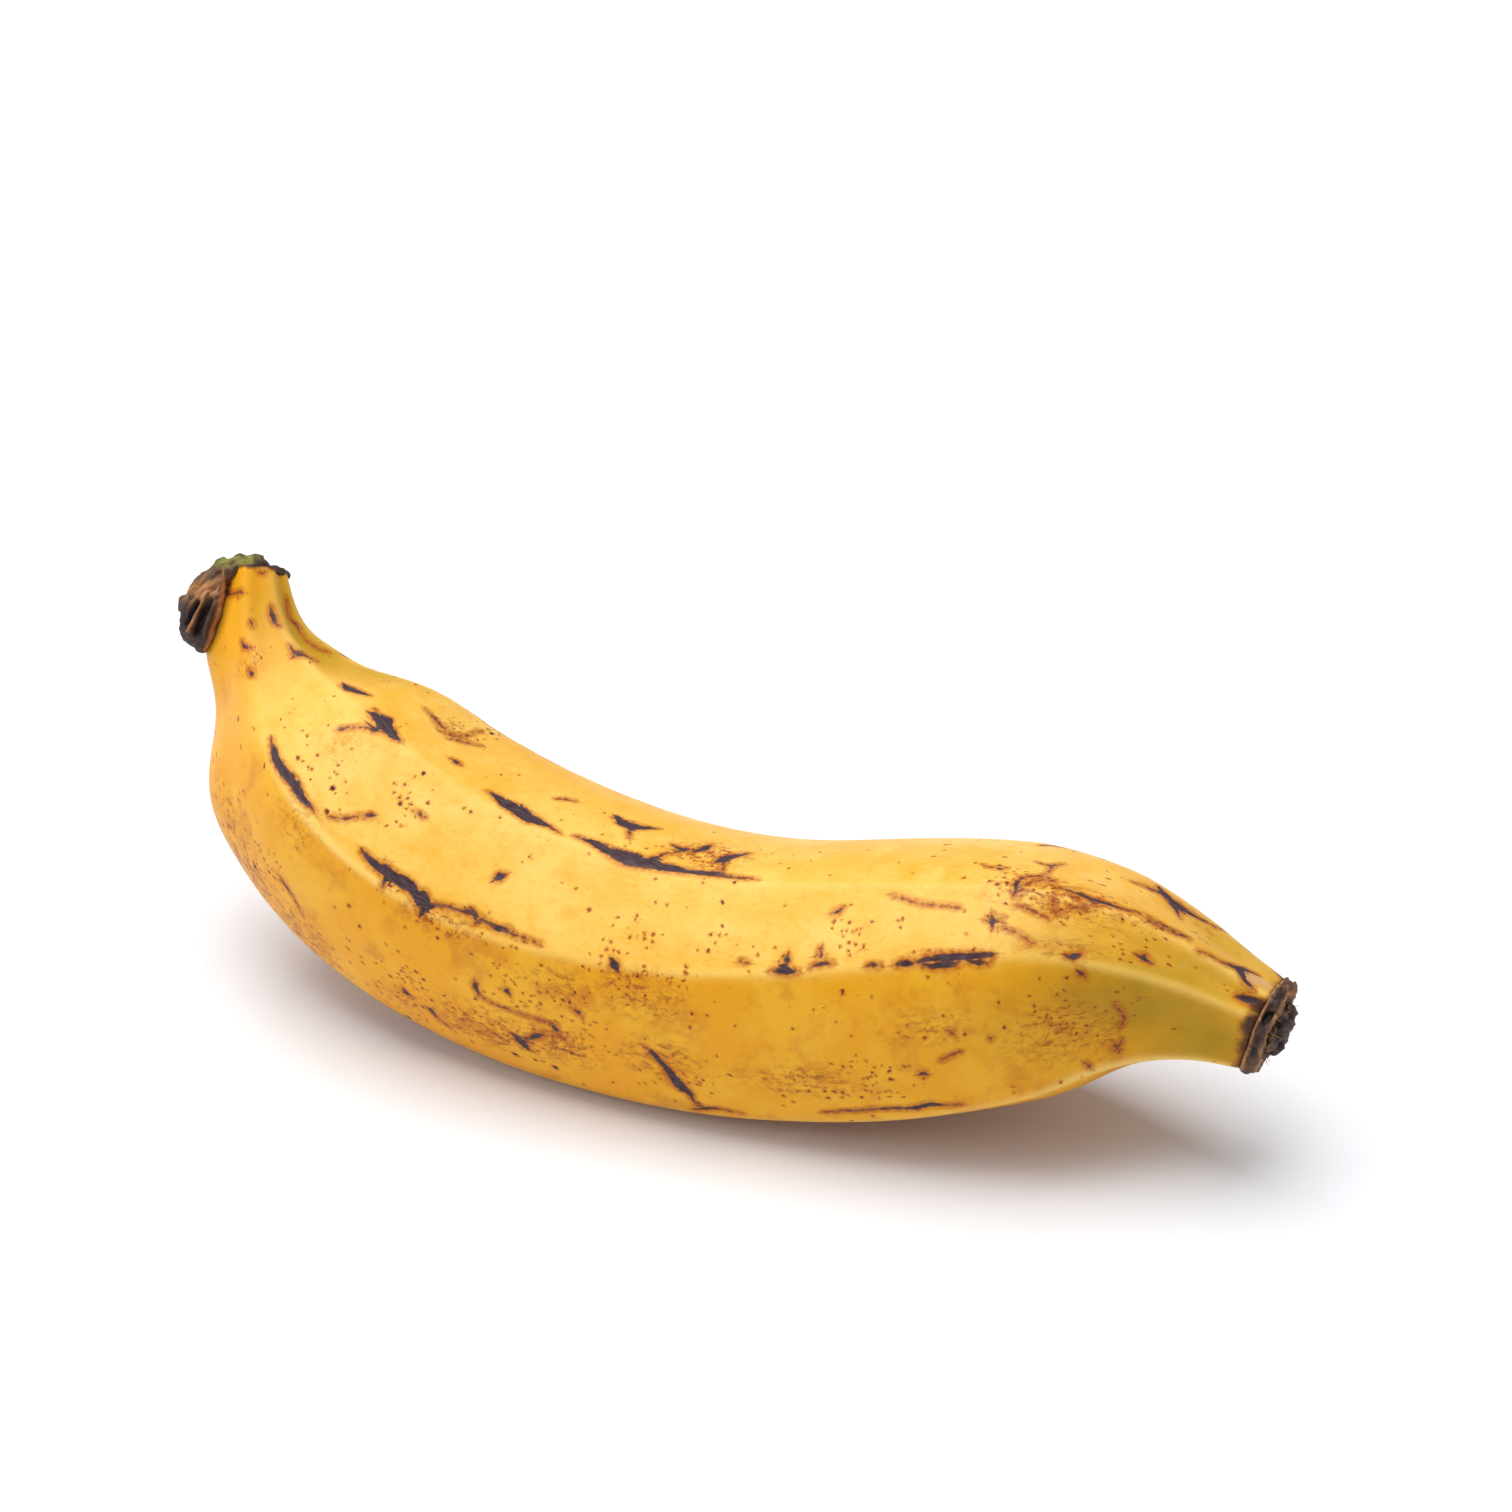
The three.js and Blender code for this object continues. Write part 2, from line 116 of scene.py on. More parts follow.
# Dark marks on the peel, each a path of points: share of the length in percent, angle in degrees, half width
# in mm
MARKS = [
    # Along the front ridge
    (15.2, 38, 0.19, 16.7, 36, 0.67, 18.3, 36, 0.95, 20.0, 35, 0.95, 21.2, 34, 0.67, 22.7, 34, 0.1),
    (28.1, 34, 0.29, 29.4, 32, 0.67, 30.8, 32, 1.05, 31.9, 32, 1.05, 33.1, 32, 0.95, 34.4, 30, 0.95,
    35.0, 29, 0.57),
    (30.8, 32, 0.57, 31.0, 28, 0.38, 31.2, 26, 0.1), (31.2, 32, 0.57, 30.6, 34, 0.29, 30.4, 36, 0.08),
    (34.4, 32, 0.76, 34.8, 29, 0.76, 34.8, 25, 0.48), (34.0, 28, 0.19, 34.6, 26, 0.23),
    (34.8, 30, 0.38, 36.7, 32, 0.29, 38.8, 34, 0.38, 40.8, 32, 0.38, 42.9, 33, 0.19, 44.6, 33, 0.1),
    (38.3, 36, 0.29, 38.8, 34, 0.48, 39.0, 31, 0.19), (40.6, 33, 0.38, 41.2, 32, 0.57, 41.9, 34, 0.29),
    (63.5, 39, 0.11, 64.2, 38, 0.57, 64.8, 38, 0.67, 65.6, 39, 0.19),
    (64.6, 45, 0.29, 64.6, 43, 0.57, 64.6, 41, 0.29),
    (66.7, 40, 0.19, 67.3, 42, 0.48, 67.9, 42, 0.38, 68.3, 42, 0.1),
    (67.3, 48, 0.19, 67.3, 45, 0.34, 67.1, 44, 0.15), (71.2, 40, 0.19, 71.7, 40, 0.38, 72.1, 40, 0.15),
    (73.5, 40, 0.29, 74.2, 40, 0.57, 74.8, 40, 0.38),
    (75.6, 38, 0.29, 76.5, 38, 0.57, 77.5, 38, 0.48, 78.3, 38, 0.19),
    (79.0, 40, 0.38, 79.8, 38, 0.48, 80.4, 38, 0.19),
    (74.8, 40, 0.19, 76.0, 41, 0.57, 77.5, 42, 0.76, 79.0, 42, 0.57, 80.6, 41, 0.38),
    (60.8, 41, 0.23, 61.5, 41, 0.19), (86.0, 42, 0.38, 86.5, 42, 0.57, 86.9, 43, 0.19),
    (86.9, 34, 0.42, 87.1, 32, 0.29), (90.6, 50, 0.19, 91.0, 50, 0.67, 91.5, 49, 0.29),
    # On the upper face, from the middle to its net of bruises
    (34.2, 83, 0.2, 34.9, 83, 0.6, 36.2, 82, 1.1, 37.6, 81.5, 1.7, 38.8, 81, 1.5, 39.8, 80.5, 0.9,
    40.8, 80, 0.4, 42.2, 79, 0.12),
    (43.6, 80, 0.2, 45.0, 80, 0.6, 46.6, 79, 1.1, 48.3, 78, 1.6, 50.0, 77, 1.7, 51.2, 77, 1.3, 52.7, 77, 1.0,
    54.6, 78, 0.6, 56.7, 78, 0.4, 59.4, 78, 0.3, 61.0, 78, 0.11),
    (50.8, 80, 0.57, 51.9, 86, 0.23, 53.5, 92, 0.19, 54.8, 96, 0.1),
    (45.4, 104, 0.5, 46.3, 101, 1.4, 47.1, 101, 1.5, 48.1, 103, 0.8, 49.4, 106, 0.15),
    (47.1, 98, 0.3, 47.8, 91, 0.2), (45.2, 103, 0.15, 46.0, 101, 0.38),
    (52.0, 94, 0.3, 52.9, 93, 0.8, 53.5, 94, 0.3), (54.0, 93, 0.4, 54.6, 97, 0.9, 55.0, 102, 0.3),
    (56.3, 87, 0.3, 56.9, 90, 1.1, 57.6, 94, 0.8, 58.8, 98, 0.2),
    (57.1, 90, 0.38, 57.5, 83, 0.19, 57.7, 81, 0.1), (55.6, 78, 0.38, 57.1, 79, 0.48, 59.0, 78, 0.19),
    # On the shoulder
    (13.7, 92, 0.5, 14.6, 91, 1.3, 15.6, 92, 0.9, 16.8, 94, 0.25),
    (19.6, 84, 0.6, 20.6, 83, 1.5, 21.7, 82, 1.3, 22.9, 81, 0.9, 23.9, 80, 0.3),
    (19.4, 86, 0.19, 20.2, 84, 0.67, 21.0, 86, 0.67, 21.9, 84, 0.57),
    (18.8, 68, 0.38, 19.4, 72, 0.15, 20.4, 76, 0.23, 21.2, 78, 0.48),
    (22.1, 108, 0.11, 23.5, 106, 0.34, 24.8, 104, 0.29, 25.6, 105, 0.15),
    (25.2, 102, 0.19, 26.5, 104, 0.29, 27.3, 109, 0.19, 27.5, 119, 0.1),
    (26.5, 100, 0.15, 27.7, 104, 0.27, 28.8, 108, 0.19, 29.4, 109, 0.1),
    (24.4, 37, 0.27, 25.2, 40, 0.23, 26.0, 44, 0.11, 26.9, 48, 0.42),
    (29.8, 59, 0.1, 30.4, 59, 0.29, 30.8, 60, 0.1), (28.8, 90, 0.14, 29.4, 89, 0.55, 29.8, 90, 0.14),
    (39.0, 50, 0.4, 39.3, 52, 0.8, 39.6, 54, 0.3), (39.4, 100, 0.1, 40.2, 103, 0.27, 40.8, 105, 0.23),
    # The web of rubs on the last bend, and the diamond below it
    (80.4, 88, 0.11, 80.8, 86, 0.34, 81.2, 88, 0.11), (79.4, 89, 0.07, 80.2, 87, 0.17),
    (82.9, 100, 0.09, 83.5, 99, 0.23, 84.0, 100, 0.34, 84.4, 108, 0.11), (84.0, 98, 0.23, 84.0, 87, 0.09),
    (82.1, 70, 0.38, 82.1, 74, 0.48, 82.5, 80, 0.29, 83.5, 83, 0.23, 84.4, 83, 0.19),
    (82.1, 70, 0.17, 82.7, 72, 0.17, 83.3, 78, 0.14, 84.4, 82, 0.23),
    (84.8, 78, 0.19, 86.0, 76, 0.38, 86.9, 74, 0.48, 87.7, 74, 0.48, 88.8, 74, 0.29, 90.0, 77, 0.11),
    (85.2, 64, 0.09, 86.5, 68, 0.14, 87.3, 71, 0.14), (84.6, 72, 0.11, 84.8, 66, 0.2, 85.0, 63, 0.11),
    (82.5, 64, 0.09, 83.3, 62, 0.18, 84.4, 60, 0.07), (80.8, 60, 0.19, 80.8, 56, 0.61, 80.6, 54, 0.23),
    (80.2, 57, 0.11, 80.8, 56, 0.38, 81.5, 58, 0.11), (81.5, 53, 0.15, 82.7, 50, 0.15, 83.5, 48, 0.15),
    (68.1, 63, 0.23, 68.5, 63, 0.46, 69.0, 64, 0.19),
    (72.9, 68, 0.15, 74.6, 66, 0.19, 76.2, 64, 0.15, 78.3, 63, 0.1),
    # Between the last bend and the blossom end
    (82.5, 127, 0.19, 83.3, 133, 0.29, 84.0, 134, 0.15),
    (90.0, 130, 0.48, 90.6, 124, 0.86, 91.5, 122, 1.05, 92.3, 122, 0.76, 93.1, 124, 0.38, 94.2, 130, 0.15),
    (91.2, 120, 0.95, 91.7, 114, 0.57, 92.1, 106, 0.19),
    (88.5, 118, 0.11, 89.4, 121, 0.3, 89.6, 121, 0.38, 90.0, 122, 0.19), (94.6, 136, 0.27, 94.8, 137, 0.11),
    (90.4, 74, 0.15, 91.0, 74, 0.3, 91.7, 75, 0.19, 92.5, 76, 0.3, 93.3, 80, 0.19),
    (90.6, 79, 0.1, 91.9, 77, 0.23, 92.9, 80, 0.19, 93.3, 77, 0.1),
    (94.2, 72, 0.1, 95.0, 74, 0.19, 96.0, 76, 0.29, 96.9, 81, 0.38),
    (96.7, 82, 0.38, 97.3, 82, 0.95, 97.7, 76, 0.76, 98.1, 72, 0.48, 98.8, 68, 0.29),
    (97.1, 83, 0.57, 97.7, 94, 0.57, 98.5, 100, 0.23), (98.0, 53, 0.3, 98.5, 55, 0.7, 99.2, 58, 0.6),
    # Low on the body
    (53.8, 354, 0.3, 54.2, 353, 0.6, 54.5, 350, 0.5, 54.8, 347, 0.67),
    (54.8, 347, 0.67, 55.4, 342, 0.95, 56.0, 336, 1.14, 56.5, 333, 0.76),
    (56.5, 333, 0.57, 56.7, 327, 0.29, 57.3, 324, 0.29),
    (56.5, 321, 0.29, 57.3, 324, 0.48, 58.5, 325, 0.29, 59.8, 324, 0.11),
    (66.0, 329, 0.15, 67.9, 331, 0.3, 70.2, 332, 0.34, 72.1, 332, 0.38, 72.9, 333, 0.57, 74.0, 334, 0.57,
    75.2, 333, 0.29, 76.2, 332, 0.11),
    # At the left edge and on the neck
    (10.8, 306, 0.3, 11.9, 305, 0.7, 13.2, 304, 1.0, 14.6, 304, 0.9, 15.8, 304, 0.5, 17.0, 304, 0.2),
    (16.9, 310, 0.11, 17.7, 310, 0.3, 18.5, 310, 0.38, 19.2, 312, 0.15),
    (22.9, 347, 0.19, 23.5, 346, 0.38, 24.2, 344, 0.23, 25.2, 339, 0.1),
    (3.1, 76, 0.19, 3.8, 76, 0.5, 4.4, 78, 0.38, 4.8, 81, 0.15), (5.8, 32, 0.23, 6.2, 36, 0.46, 6.5, 41, 0.19),
    (8.3, 37, 0.19, 8.8, 38, 0.5, 9.0, 40, 0.19), (4.2, 46, 0.3, 4.4, 48, 0.19),
    (7.3, 82, 0.19, 7.9, 82, 0.38, 8.5, 84, 0.42, 9.0, 91, 0.29, 9.4, 96, 0.11), (8.5, 79, 0.19, 8.3, 86, 0.3),
    (2.3, 111, 0.11, 4.0, 104, 0.19, 5.0, 110, 0.34, 6.0, 109, 0.11),
    (6.7, 107, 0.1, 8.1, 109, 0.15, 8.8, 113, 0.19), (0.4, 64, 0.15, 0.6, 68, 0.3),
    (1.7, 328, 0.38, 1.7, 0, 0.23, 1.7, 29, 0.29), (9.4, 123, 0.15, 9.6, 123, 0.3, 9.8, 123, 0.15),
    # On the belly and beside the olive end
    (50.6, 34, 0.4, 51.0, 32, 0.8, 51.2, 31, 0.4), (40.0, 6, 0.1, 40.2, 2, 0.6, 40.6, 358, 0.2),
    (42.3, 7, 0.14, 42.7, 7, 0.6, 42.9, 6, 0.2),
    (46.0, 356, 0.14, 46.5, 354, 0.6, 46.7, 352, 0.25, 47.7, 346, 0.15),
    (47.9, 8, 0.1, 48.3, 7, 0.45, 48.5, 6, 0.1), (34.4, 338, 0.19, 34.6, 336, 0.6, 35.0, 336, 0.1),
    (36.0, 333, 0.1, 36.7, 332, 0.6, 37.1, 328, 0.25, 38.1, 325, 0.15),
    (43.1, 341, 0.25, 43.5, 338, 0.8, 44.0, 336, 0.8, 44.4, 335, 0.2),
    (43.3, 340, 0.25, 44.4, 342, 0.35, 45.2, 346, 0.65, 45.6, 348, 0.2),
    (40.4, 358, 0.15, 42.1, 356, 0.2, 44.6, 357, 0.15, 46.5, 356, 0.2),
    (90.0, 348, 0.15, 90.2, 344, 0.34, 90.4, 349, 0.19),
    (89.8, 14, 0.19, 90.2, 10, 0.23, 90.4, 4, 0.23, 90.2, 359, 0.19), (74.0, 351, 0.42, 74.2, 350, 0.42),
    (76.7, 10, 0.29, 76.9, 8, 0.19), (79.6, 4, 0.3, 79.8, 4, 0.3), (87.5, 340, 0.23, 87.7, 339, 0.34),
    (75.6, 356, 0.23, 76.5, 358, 0.19, 77.3, 0, 0.15),
]
# The same on the sides that face away: bruises along the hidden ridges, and knocks between them
HIDDEN_MARKS = [
    (24, 131, 0.2, 27, 131, 0.8, 30, 133, 1.1, 34, 134, 0.6, 37, 135, 0.1),
    (30, 133, 0.8, 30.6, 140, 0.4, 31, 146, 0.1),
    (55, 138, 0.1, 60, 139, 0.7, 64, 139, 1.2, 68, 140, 0.8, 73, 141, 0.2),
    (62, 139, 0.6, 63, 148, 0.3, 63.5, 154, 0.1), (42, 172, 0.2, 43, 175, 1.0, 44.4, 178, 0.8, 45, 184, 0.2),
    (43, 175, 0.8, 42.4, 166, 0.3, 42, 160, 0.1), (57, 186, 0.3, 57.6, 186, 0.8, 58, 188, 0.3),
    (76, 170, 0.2, 77, 172, 0.9, 78, 174, 0.2), (76.6, 166, 0.2, 77, 172, 0.6, 77.4, 178, 0.2),
    (20, 212, 0.2, 24, 213, 0.7, 29, 215, 1.0, 34, 216, 0.5, 38, 218, 0.1),
    (62, 225, 0.1, 68, 226, 0.8, 75, 226, 1.2, 80, 226, 0.8, 84, 225, 0.1),
    (36, 262, 0.2, 40, 264, 0.6, 44, 262, 0.5, 47, 264, 0.1),
    (70, 272, 0.3, 71, 274, 1.0, 72, 278, 0.6, 72.6, 284, 0.2),
    (26, 305, 0.1, 29, 305, 0.5, 32, 306, 0.8, 36, 308, 0.3),
    (90, 160, 0.2, 93, 158, 0.6, 96, 156, 0.8, 98.6, 152, 1.0), (92, 240, 0.2, 95, 236, 0.5, 98.4, 232, 0.9),
    (4, 170, 0.2, 6, 172, 0.5, 9, 174, 0.3, 11, 175, 0.1), (7.4, 232, 0.3, 7.9, 233, 0.7, 8.3, 235, 0.2),
]
# How far past a mark's edge its brown glow reaches, mm, and the distance that stands for no mark
MARK_REACH, NO_MARK = 2.4, 20.0
# Soft patches: share of the length in percent, angle in degrees, half length and half width in mm, strength.
# Rubbed patches, patches with many specks, peel that is still green, with painted shade on the neck's hollow
# face, and a dark band round both ends
SMUDGES = [
    (26.0, 106, 6, 3, 0.8), (55.4, 92, 9, 5, 1.0), (85.2, 72, 10.5, 4.5, 1.0), (19.6, 318, 8, 9, 0.8),
    (25.2, 322, 8, 7, 0.8), (40.6, 338, 8, 6, 1.0), (46.2, 344, 8, 6, 0.9), (54.6, 351, 7, 5, 0.9),
    (53.1, 22, 8, 5, 0.7), (64.8, 348, 10, 4, 0.7), (85.2, 2, 10, 6, 0.7), (75.2, 12, 8, 4, 0.5),
    (76.9, 42, 8, 1.5, 1.0), (85.4, 46, 8, 2, 0.6), (91.5, 122, 6, 3, 0.8), (22.3, 24, 6, 6, 0.4),
    (36.5, 26, 8, 3, 0.8), (46.9, 18, 6, 4, 0.6), (20.4, 64, 6, 5, 0.3), (7.9, 39, 3, 4, 0.5),
    (89.4, 354, 4, 5, 0.5), (35, 170, 12, 6, 0.8), (60, 176, 14, 7, 0.9), (80, 160, 9, 5, 0.7),
    (30, 240, 12, 8, 0.7), (50, 262, 12, 8, 0.7), (72, 250, 14, 9, 0.9), (86, 300, 9, 6, 0.6),
    (16, 200, 8, 6, 0.5), (46, 214, 10, 5, 0.7), (66, 300, 10, 6, 0.6), (34, 292, 9, 6, 0.7),
]
SPECKLES = [
    (38.2, 26, 9, 4, 1.0), (21.2, 51, 7, 5, 0.4), (19.4, 338, 9, 9, 0.9), (25.0, 318, 7, 7, 0.9),
    (35.6, 336, 11, 8, 0.9), (44.6, 350, 11, 9, 1.0), (52.9, 28, 11, 4, 0.9), (46, 12, 9, 5, 0.8),
    (55.8, 340, 7, 5, 0.8), (69.2, 348, 10, 5, 0.7), (86.9, 12, 9, 6, 0.6), (83.1, 78, 8, 5, 0.8),
    (55.6, 88, 8, 5, 0.9), (27.9, 60, 8, 6, 0.3), (59.0, 50, 7, 4, 0.3), (87.5, 76, 8, 5, 0.7),
    (26.7, 122, 7, 6, 0.7), (52.1, 48, 8, 5, 0.4), (70.4, 54, 6, 4, 0.7), (91.2, 57, 6, 4, 0.4),
    (40, 180, 20, 12, 0.6), (70, 190, 22, 12, 0.7), (55, 240, 24, 14, 0.6), (25, 250, 14, 12, 0.7),
    (80, 280, 14, 10, 0.6), (14, 160, 10, 8, 0.4), (88, 200, 10, 8, 0.5),
]
GREENS = [
    (92.5, 22, 20, 11, 0.95), (97, 350, 12, 10, 1.0), (96.5, 62, 9, 6, 0.5), (87, 46, 14, 4, 0.45),
    (84, 10, 16, 12, 0.3), (95.5, 110, 9, 7, 0.4), (96, 180, 12, 14, 0.7), (97, 270, 9, 12, 0.8),
    # At the neck the olive on the face beside its hollow is painted shade
    (6.5, 112, 15, 5.5, 1.0), (12, 120, 16, 7, 0.6), (4, 60, 8, 5, 0.3), (3, 330, 7, 4, 0.4),
    (4, 200, 8, 10, 0.3),
]
RIM_SHADES = [
    (100.2, 30, 3.0, 5, 1.0), (100.3, 352, 2.6, 6, 1.0), (100, 52, 2.4, 2.6, 0.95), (100, 110, 1.8, 5, 0.5),
    (99.8, 160, 3.0, 6, 0.9), (100, 210, 2.6, 6, 0.9), (100, 260, 3.0, 6, 0.9), (100.2, 305, 2.6, 6, 0.9),
    (1.2, 342, 1.6, 3, 0.7), (0.3, 200, 1.4, 7, 0.7), (0.2, 260, 1.4, 4, 0.6), (-0.1, 18, 0.9, 4, 1.0),
    (-0.1, 56, 0.9, 4, 1.0), (0, 96, 0.9, 4, 1.0), (0, 136, 1.0, 4, 1.0),
]
# Dry, tan peel beside the notch at the tip
DRY = [(98.9, 87, 2.4, 1.8, 1.0), (98.3, 79, 2.0, 1.0, 1.0)]
# Where the yellow is palest: ridges of the neck, the shoulder and the upper faces; on the upper faces and
# ridges the pale is partly the peel's own and partly a painted highlight
PALES_AND_HIGHLIGHTS = [
    (3, 84, 8, 2.4, 0.6), (8, 90, 9, 2.6, 0.8), (13, 84, 12, 9, 0.7), (11, 22, 12, 6, 0.6),
    (5, 356, 10, 3, 0.4), (26, 60, 26, 10, 0.45), (33, 106, 30, 6, 0.4), (58, 50, 40, 4, 0.6),
    (44, 44, 30, 4, 0.5), (62, 78, 34, 5, 0.4), (30, 40, 18, 3, 0.6), (46, 346, 22, 10, 0.3),
    (72, 330, 30, 4, 0.4), (60, 180, 40, 10, 0.4),
]
# Share of the length, then strength of the lengthwise wrinkles where the peel dries first
WRINKLES = [(0, 0.35), (0.08, 0.35), (0.16, 0.2), (0.3, 0.08), (0.8, 0.08), (0.9, 0.3), (1, 0.6)]
# Share of the length, then how far the yellow turns to orange at the neck
DEEP_YELLOW = [(0, 1.0), (0.06, 0.8), (0.11, 0.4), (0.17, 0.05), (0.25, 0.0), (0.8, 0.0), (0.9, 0.12), (1, 0.1)]
# The peel's map is unrolled from a line on the underside, by its usual girth in mm
SEAM = math.radians(250)
GIRTH = 163.0

# Specks: cell, smallest and largest half width in mm, then the share of cells that hold one in clear peel, and
# what is added to it where specks are densest
SPECK_SIZES = [(7.0, 0.18, 0.6, 0.07, 0.3), (3.2, 0.12, 0.4, 0.05, 0.6), (1.5, 0.1, 0.28, 0.03, 0.8)]

# How far the neck's torn top stands past its even end, in mm: everywhere, and more towards an angle
NECK_LIP = (0.3, 1.15, 20)

# The torn crown stub, in mm: out to the outer flank, towards the front, and up from the neck's top
OUTER_FLANK = 317
CROWN_BLOBS = [
    # middle, half sizes, degrees that the lower end leans outwards
    ((10.4, 0.0, -6.6), (4.7, 6.0, 7.8), 18),
    ((8.2, 0.4, -7.2), (2.0, 6.8, 7.8), 17),
    ((9.0, 0.0, -1.6), (4.2, 5.0, 3.0), -28),
    ((3.2, -0.2, 1.0), (6.2, 5.6, 2.7), -4),
    ((-3.4, -0.2, 0.0), (3.4, 5.4, 1.5), 6),
    ((2.6, 1.4, 3.0), (1.5, 1.3, 1.1), 0),
    ((-0.2, 0.6, 2.8), (1.7, 1.6, 1.2), 0),
    ((6.2, 1.2, 2.2), (1.6, 1.6, 1.3), 20),
    ((4.0, -2.6, 2.6), (2.2, 1.8, 1.2), 0),
    ((14.2, 0.8, -10.4), (1.5, 1.8, 1.5), 0),
    ((11.2, 1.4, -13.2), (1.8, 3.0, 1.8), 10),
    ((14.4, -1.4, -5.0), (1.6, 2.6, 2.2), 0),
    ((12.4, -2.8, -9.0), (2.6, 2.6, 3.4), 20),
]
# Paths of folds in the front of the stub: (out, up) points, half width, depth (negative stands proud)
CROWN_FOLDS = [
    (((8.4, -5.0), (9.8, -7.8), (11.6, -11.4)), 0.55, 1.5),
    (((8.9, -3.7), (10.9, -6.8), (13.0, -10.4)), 0.42, -0.9),
    (((11.0, -5.4), (12.3, -7.4), (13.6, -9.6)), 0.7, 1.9),
    (((12.9, -3.8), (13.9, -6.6), (14.0, -9.4)), 0.4, 0.6),
    (((7.4, -2.6), (10.0, -3.0), (12.8, -4.4)), 0.3, 0.35),
    (((6.2, 0.6), (9.0, -1.0), (11.6, -2.6)), 0.4, 0.4),
    (((5.8, 2.4), (2.6, 2.2), (-0.6, 2.2), (-3.4, 1.2)), 0.3, 0.4),
]
# The stub's edge on the peel, seen from the front: (out, up) points
CROWN_RIM = ((5.7, 0.9), (5.8, -3.6), (7.3, -8.6), (8.9, -12.4), (10.4, -14.6))
# The dried blossom end: mm past the peel, then radius, from the collar's lip to the knob's crown
BLOSSOM = [
    (0.1, 8.0), (0.8, 8.35), (1.7, 8.35), (2.4, 8.0), (2.8, 7.3), (2.5, 6.7), (1.5, 6.2), (1.3, 5.6),
    (2.6, 5.1), (3.8, 4.5), (4.6, 3.5), (5.2, 1.9),
]
BLOSSOM_ROWS, BLOSSOM_SIDES = 120, 240
# The collar starts inside the peel, so that no gap shows at its lip: mm in, and share of the first ring
BLOSSOM_TUCK = (1.2, 0.82)
# Rows of the profile: the collar's thin lips with their height in mm, the groove and the knob's foot
BLOSSOM_LIPS = ((0.6, 0.22), (3.4, 0.34))
GROOVE_ROW, KNOB_ROW = 6.6, 7.5
# Pits in the collar and the knob: row of the profile, angle, half width in mm, depth in mm
BLOSSOM_PITS = [
    (1.6, 352, 1.3, 1.0), (1.5, 18, 1.0, 0.6), (1.8, 46, 1.4, 1.0), (1.7, 74, 1.1, 0.7), (1.6, 96, 1.2, 0.8),
    (1.5, 134, 1.2, 0.7), (1.7, 172, 1.4, 0.8), (1.6, 206, 1.1, 0.7), (1.6, 240, 1.3, 0.8),
    (1.7, 286, 1.2, 0.8), (2.2, 116, 3.0, -0.7), (2.4, 330, 2.6, -0.5), (2.2, 225, 3.0, -0.6),
    (9.2, 20, 0.9, 0.9), (9.0, 330, 0.8, 0.8), (9.8, 90, 0.9, 0.8), (9.2, 160, 0.8, 0.8), (9.4, 250, 0.9, 0.8),
    (8.6, 50, 0.7, 0.7), (10.4, 350, 0.8, 0.7), (8.8, 0, 1.3, -0.5), (9.6, 120, 1.2, -0.5),
]
# Loose fibres: how many in the blossom end's groove and on the stub, their thickness in metres and how far
# they stray, in radians
GROOVE_FIBRES, STUB_FIBRES = 64, 12
FIBRE_THICKNESS, FIBRE_SPREAD = 0.00022, 0.6
GOLDEN_ANGLE = 2.399963

# What the camera looks at, mm
LOOK_AT = (5.32, 15.94, 58.22)
# Soft lamps: name, place and size in metres, share of the key light's power
LAMPS = [("softbox_top", (-0.35, 0.1, 1.9), 1.7, 1.0), ("softbox_left", (-1.5, -1.1, 1.0), 1.0, 0.24)]
LAMPS_AIM = (0, 0, 0.03)
FLOOR_HALF = 4.0


def linear(colour):
    """A linear RGB triple from an sRGB hex value."""
    parts = [((colour >> shift) & 255) / 255 for shift in (16, 8, 0)]
    return tuple(p / 12.92 if p <= 0.04045 else ((p + 0.055) / 1.055) ** 2.4 for p in parts)


def colour_setting(name, description, colour):
    return FloatVectorProperty(
        name=name, description=description, default=linear(colour), min=0.0, max=1.0, subtype="COLOR"
    )


def depth_setting(name, description, metres):
    return FloatProperty(name=name, description=description, default=metres, unit="LENGTH", precision=5)


class PlantainShape(bpy.types.PropertyGroup):
    rings: IntProperty(
        name="Rings", description="Sections of the peel along the fruit", default=400, min=60, max=400
    )
    sides: IntProperty(
        name="Sides", description="Points round each section of the peel", default=240, min=40, max=240
    )
    flatness: FloatProperty(
        name="Face flatness", description="How flat the five faces are", default=1.0, min=0.0, max=1.2
    )
    ridge_softness: FloatProperty(
        name="Ridge softness", description="How round the five ridges are", default=0.2, min=0.02, max=1.0
    )
    pore_depth: depth_setting("Pore depth", "Depth of the peel's fine unevenness", 0.00007)
    wrinkle_depth: depth_setting("Wrinkle depth", "Depth of the wrinkles at both ends", 0.00022)
    bruise_sink: depth_setting("Bruise sink", "How far the dark marks sink in", 0.00016)
    crease_rise: depth_setting("Crease rise", "How far the creases along the ridges stand up", 0.00022)
    crown_grain: depth_setting("Crown grain", "Spacing of the stub's mesh", 0.00032)
    fibre_length: depth_setting("Fibre length", "Length of the loose fibres", 0.0022)
    seed: IntProperty(name="Seed", description="Seed of the fine unevenness", default=7)


